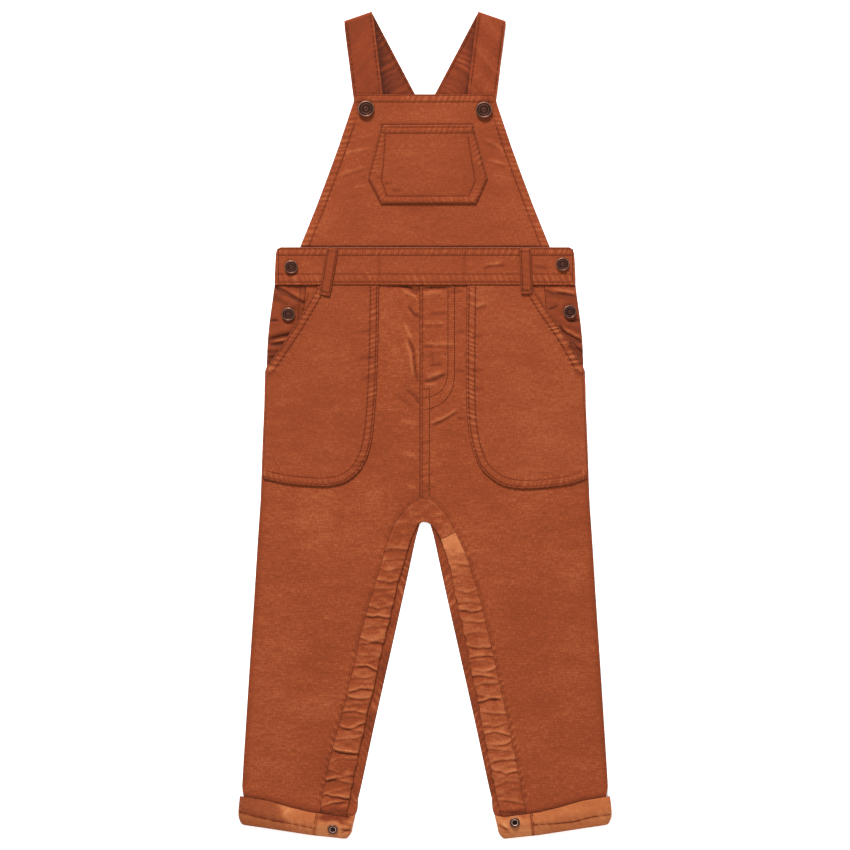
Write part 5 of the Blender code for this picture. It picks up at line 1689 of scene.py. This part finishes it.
Half = namedtuple("Half", "side label inseam pocket mouth cuff_seam cuff_placket")
HALVES = (
    Half(-1.0, "left", INSEAM_LEFT, POCKET_LEFT, MOUTH_LEFT, CUFF_SEAM_LEFT, CUFF_PLACKET_LEFT),
    Half(1.0, "right", INSEAM_RIGHT, POCKET_RIGHT, MOUTH_RIGHT, CUFF_SEAM_RIGHT,
         CUFF_PLACKET_RIGHT),
)
for half in HALVES:
    back_panel(half.side, half.label)
    back_band(half.side, half.label)
    panel_top = front_panel(half.side, half.label, half.inseam, half.pocket, half.mouth)
    if half.side > 0:
        sew("fly_stitching", FLY_SEAMS, panel_top, "rust_leg_cloth")
    placket_top = placket(half.side, half.label)
    if half.side < 0:
        sew("side_placket_stitching", [PLACKET_SEAM], placket_top, "rust_cloth")
    cuff(half.side, half.label, half.cuff_seam, half.cuff_placket)
    strap(half.side, half.label)
pocket(-1.0, "left", POCKET_LEFT, MOUTH_LEFT,
       ((0, 0.25), (60, 0.2), (90, 0.3), (120, 0.3), (163, 0.4), (205, 0.4), (212, 0.3),
        (222, 0.5), (250, 0.45)),
       ((0, 0.35), (82, 0.5)))
pocket(1.0, "right", POCKET_RIGHT, MOUTH_RIGHT,
       ((0, 0.3), (110, 0.3), (150, 0.45), (200, 0.4), (250, 0.35)),
       ((0, 0.35), (45, 0.6), (82, 0.95)))
front_band(-1.0, "left", GATHERS_LEFT)
front_band(1.0, "right", GATHERS_RIGHT)
waistband("back", lambda x, y: 0.0 * x, BACK_WAIST_WALL, BACK_WAIST_HALF,
          lambda x, y: (0.0 * x, 0.0 * x), 2.4, 0.9 * SEAM)
waist_top = waistband("front", waist_low, FRONT_WAIST_WALL, FRONT_WAIST_HALF, waist_folds, 1.1,
                      0.7 * SEAM)
waist_seams = [((WAIST_ENDS[0], y), (WAIST_ENDS[1], y)) for y in WAIST_ROWS]
waist_seams += [((x, 150.5), (x, 124.0)) for x in WAIST_ENDS]
sew("waistband_stitching", waist_seams, waist_top, "rust_cloth")
bib()
bib_pocket()
for loop_row in BELT_LOOPS:
    belt_loop(*loop_row)
for button_name, button_x, button_y, button_radius, button_tilt in BUTTONS:
    lean = math.radians(button_tilt)
    tipped_down = abs(math.sin(lean)) * BUTTON_FOOT * button_radius
    turned(button_name, BUTTON_SECTION, button_x, button_y,
           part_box(button_name)[0][2] / MM + tipped_down, button_radius,
           Matrix.Rotation(lean, 4, "Y"))
for ring_name, ring_x, ring_y, ring_tilt in RINGS:
    low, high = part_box(ring_name)
    turned(ring_name, RING_SECTION, ring_x, ring_y,
           0.5 * (low[2] + high[2]) / MM - RING_HALF_HEIGHT, RING_RADIUS,
           Matrix.Rotation(math.radians(ring_tilt), 4, "X"))

# ---- floor, light and camera, in metres ------------------------------------------------------

FLOOR_REACH = 3.0
CAMERA_HEIGHT = 5.0
CLOTH_HEIGHT = 0.007
# The photograph's width at the height of the cloth.
VIEW_WIDTH = 0.731
SENSOR_WIDTH_MM = 36.0


def light_table(name):
    """An opal acrylic table top, satin white and lit from beneath, so that shadows fade on it."""
    return plain(
        name, {"Scale": 0.9 / MM, "Detail": 2.0}, ((0.3, "#fafafa"), (0.7, "#fdfdfd")),
        {"Roughness": 0.95, "Emission Color": (1.0, 1.0, 1.0, 1.0), "Emission Strength": 0.35},
    )


floor_bm = bmesh.new()
bmesh.ops.create_grid(floor_bm, x_segments=1, y_segments=1, size=FLOOR_REACH)
floor_mesh = bpy.data.meshes.new("floor")
floor_bm.to_mesh(floor_mesh)
floor_bm.free()
floor_mesh.materials.append(light_table("opal_light_table"))
floor = bpy.data.objects.new("floor", floor_mesh)
bpy.context.collection.objects.link(floor)


def area_light(name, place, size, power):
    """A round lamp that points at the garment."""
    data = bpy.data.lights.new(name, "AREA")
    data.shape = "DISK"
    data.size = size
    data.energy = power
    made = bpy.data.objects.new(name, data)
    made.location = place
    made.rotation_euler = (-Vector(place)).to_track_quat("-Z", "Y").to_euler()
    bpy.context.collection.objects.link(made)


area_light("key", (-0.4, 2.7, 2.0), 0.8, 190.0)
area_light("fill", (0.8, -2.0, 3.0), 2.6, 48.0)
world = bpy.data.worlds.new("studio")
world.use_nodes = True
world.node_tree.nodes["Background"].inputs["Color"].default_value = (1.0, 1.0, 1.0, 1.0)
world.node_tree.nodes["Background"].inputs["Strength"].default_value = 0.5
bpy.context.scene.world = world
bpy.context.scene.view_settings.view_transform = "Standard"

lens_data = bpy.data.cameras.new("camera")
lens_data.sensor_width = SENSOR_WIDTH_MM
lens_data.lens = SENSOR_WIDTH_MM * (CAMERA_HEIGHT - CLOTH_HEIGHT) / VIEW_WIDTH
camera = bpy.data.objects.new("camera", lens_data)
camera.location = (0.0, 0.0, CAMERA_HEIGHT)
bpy.context.collection.objects.link(camera)
bpy.context.scene.camera = camera
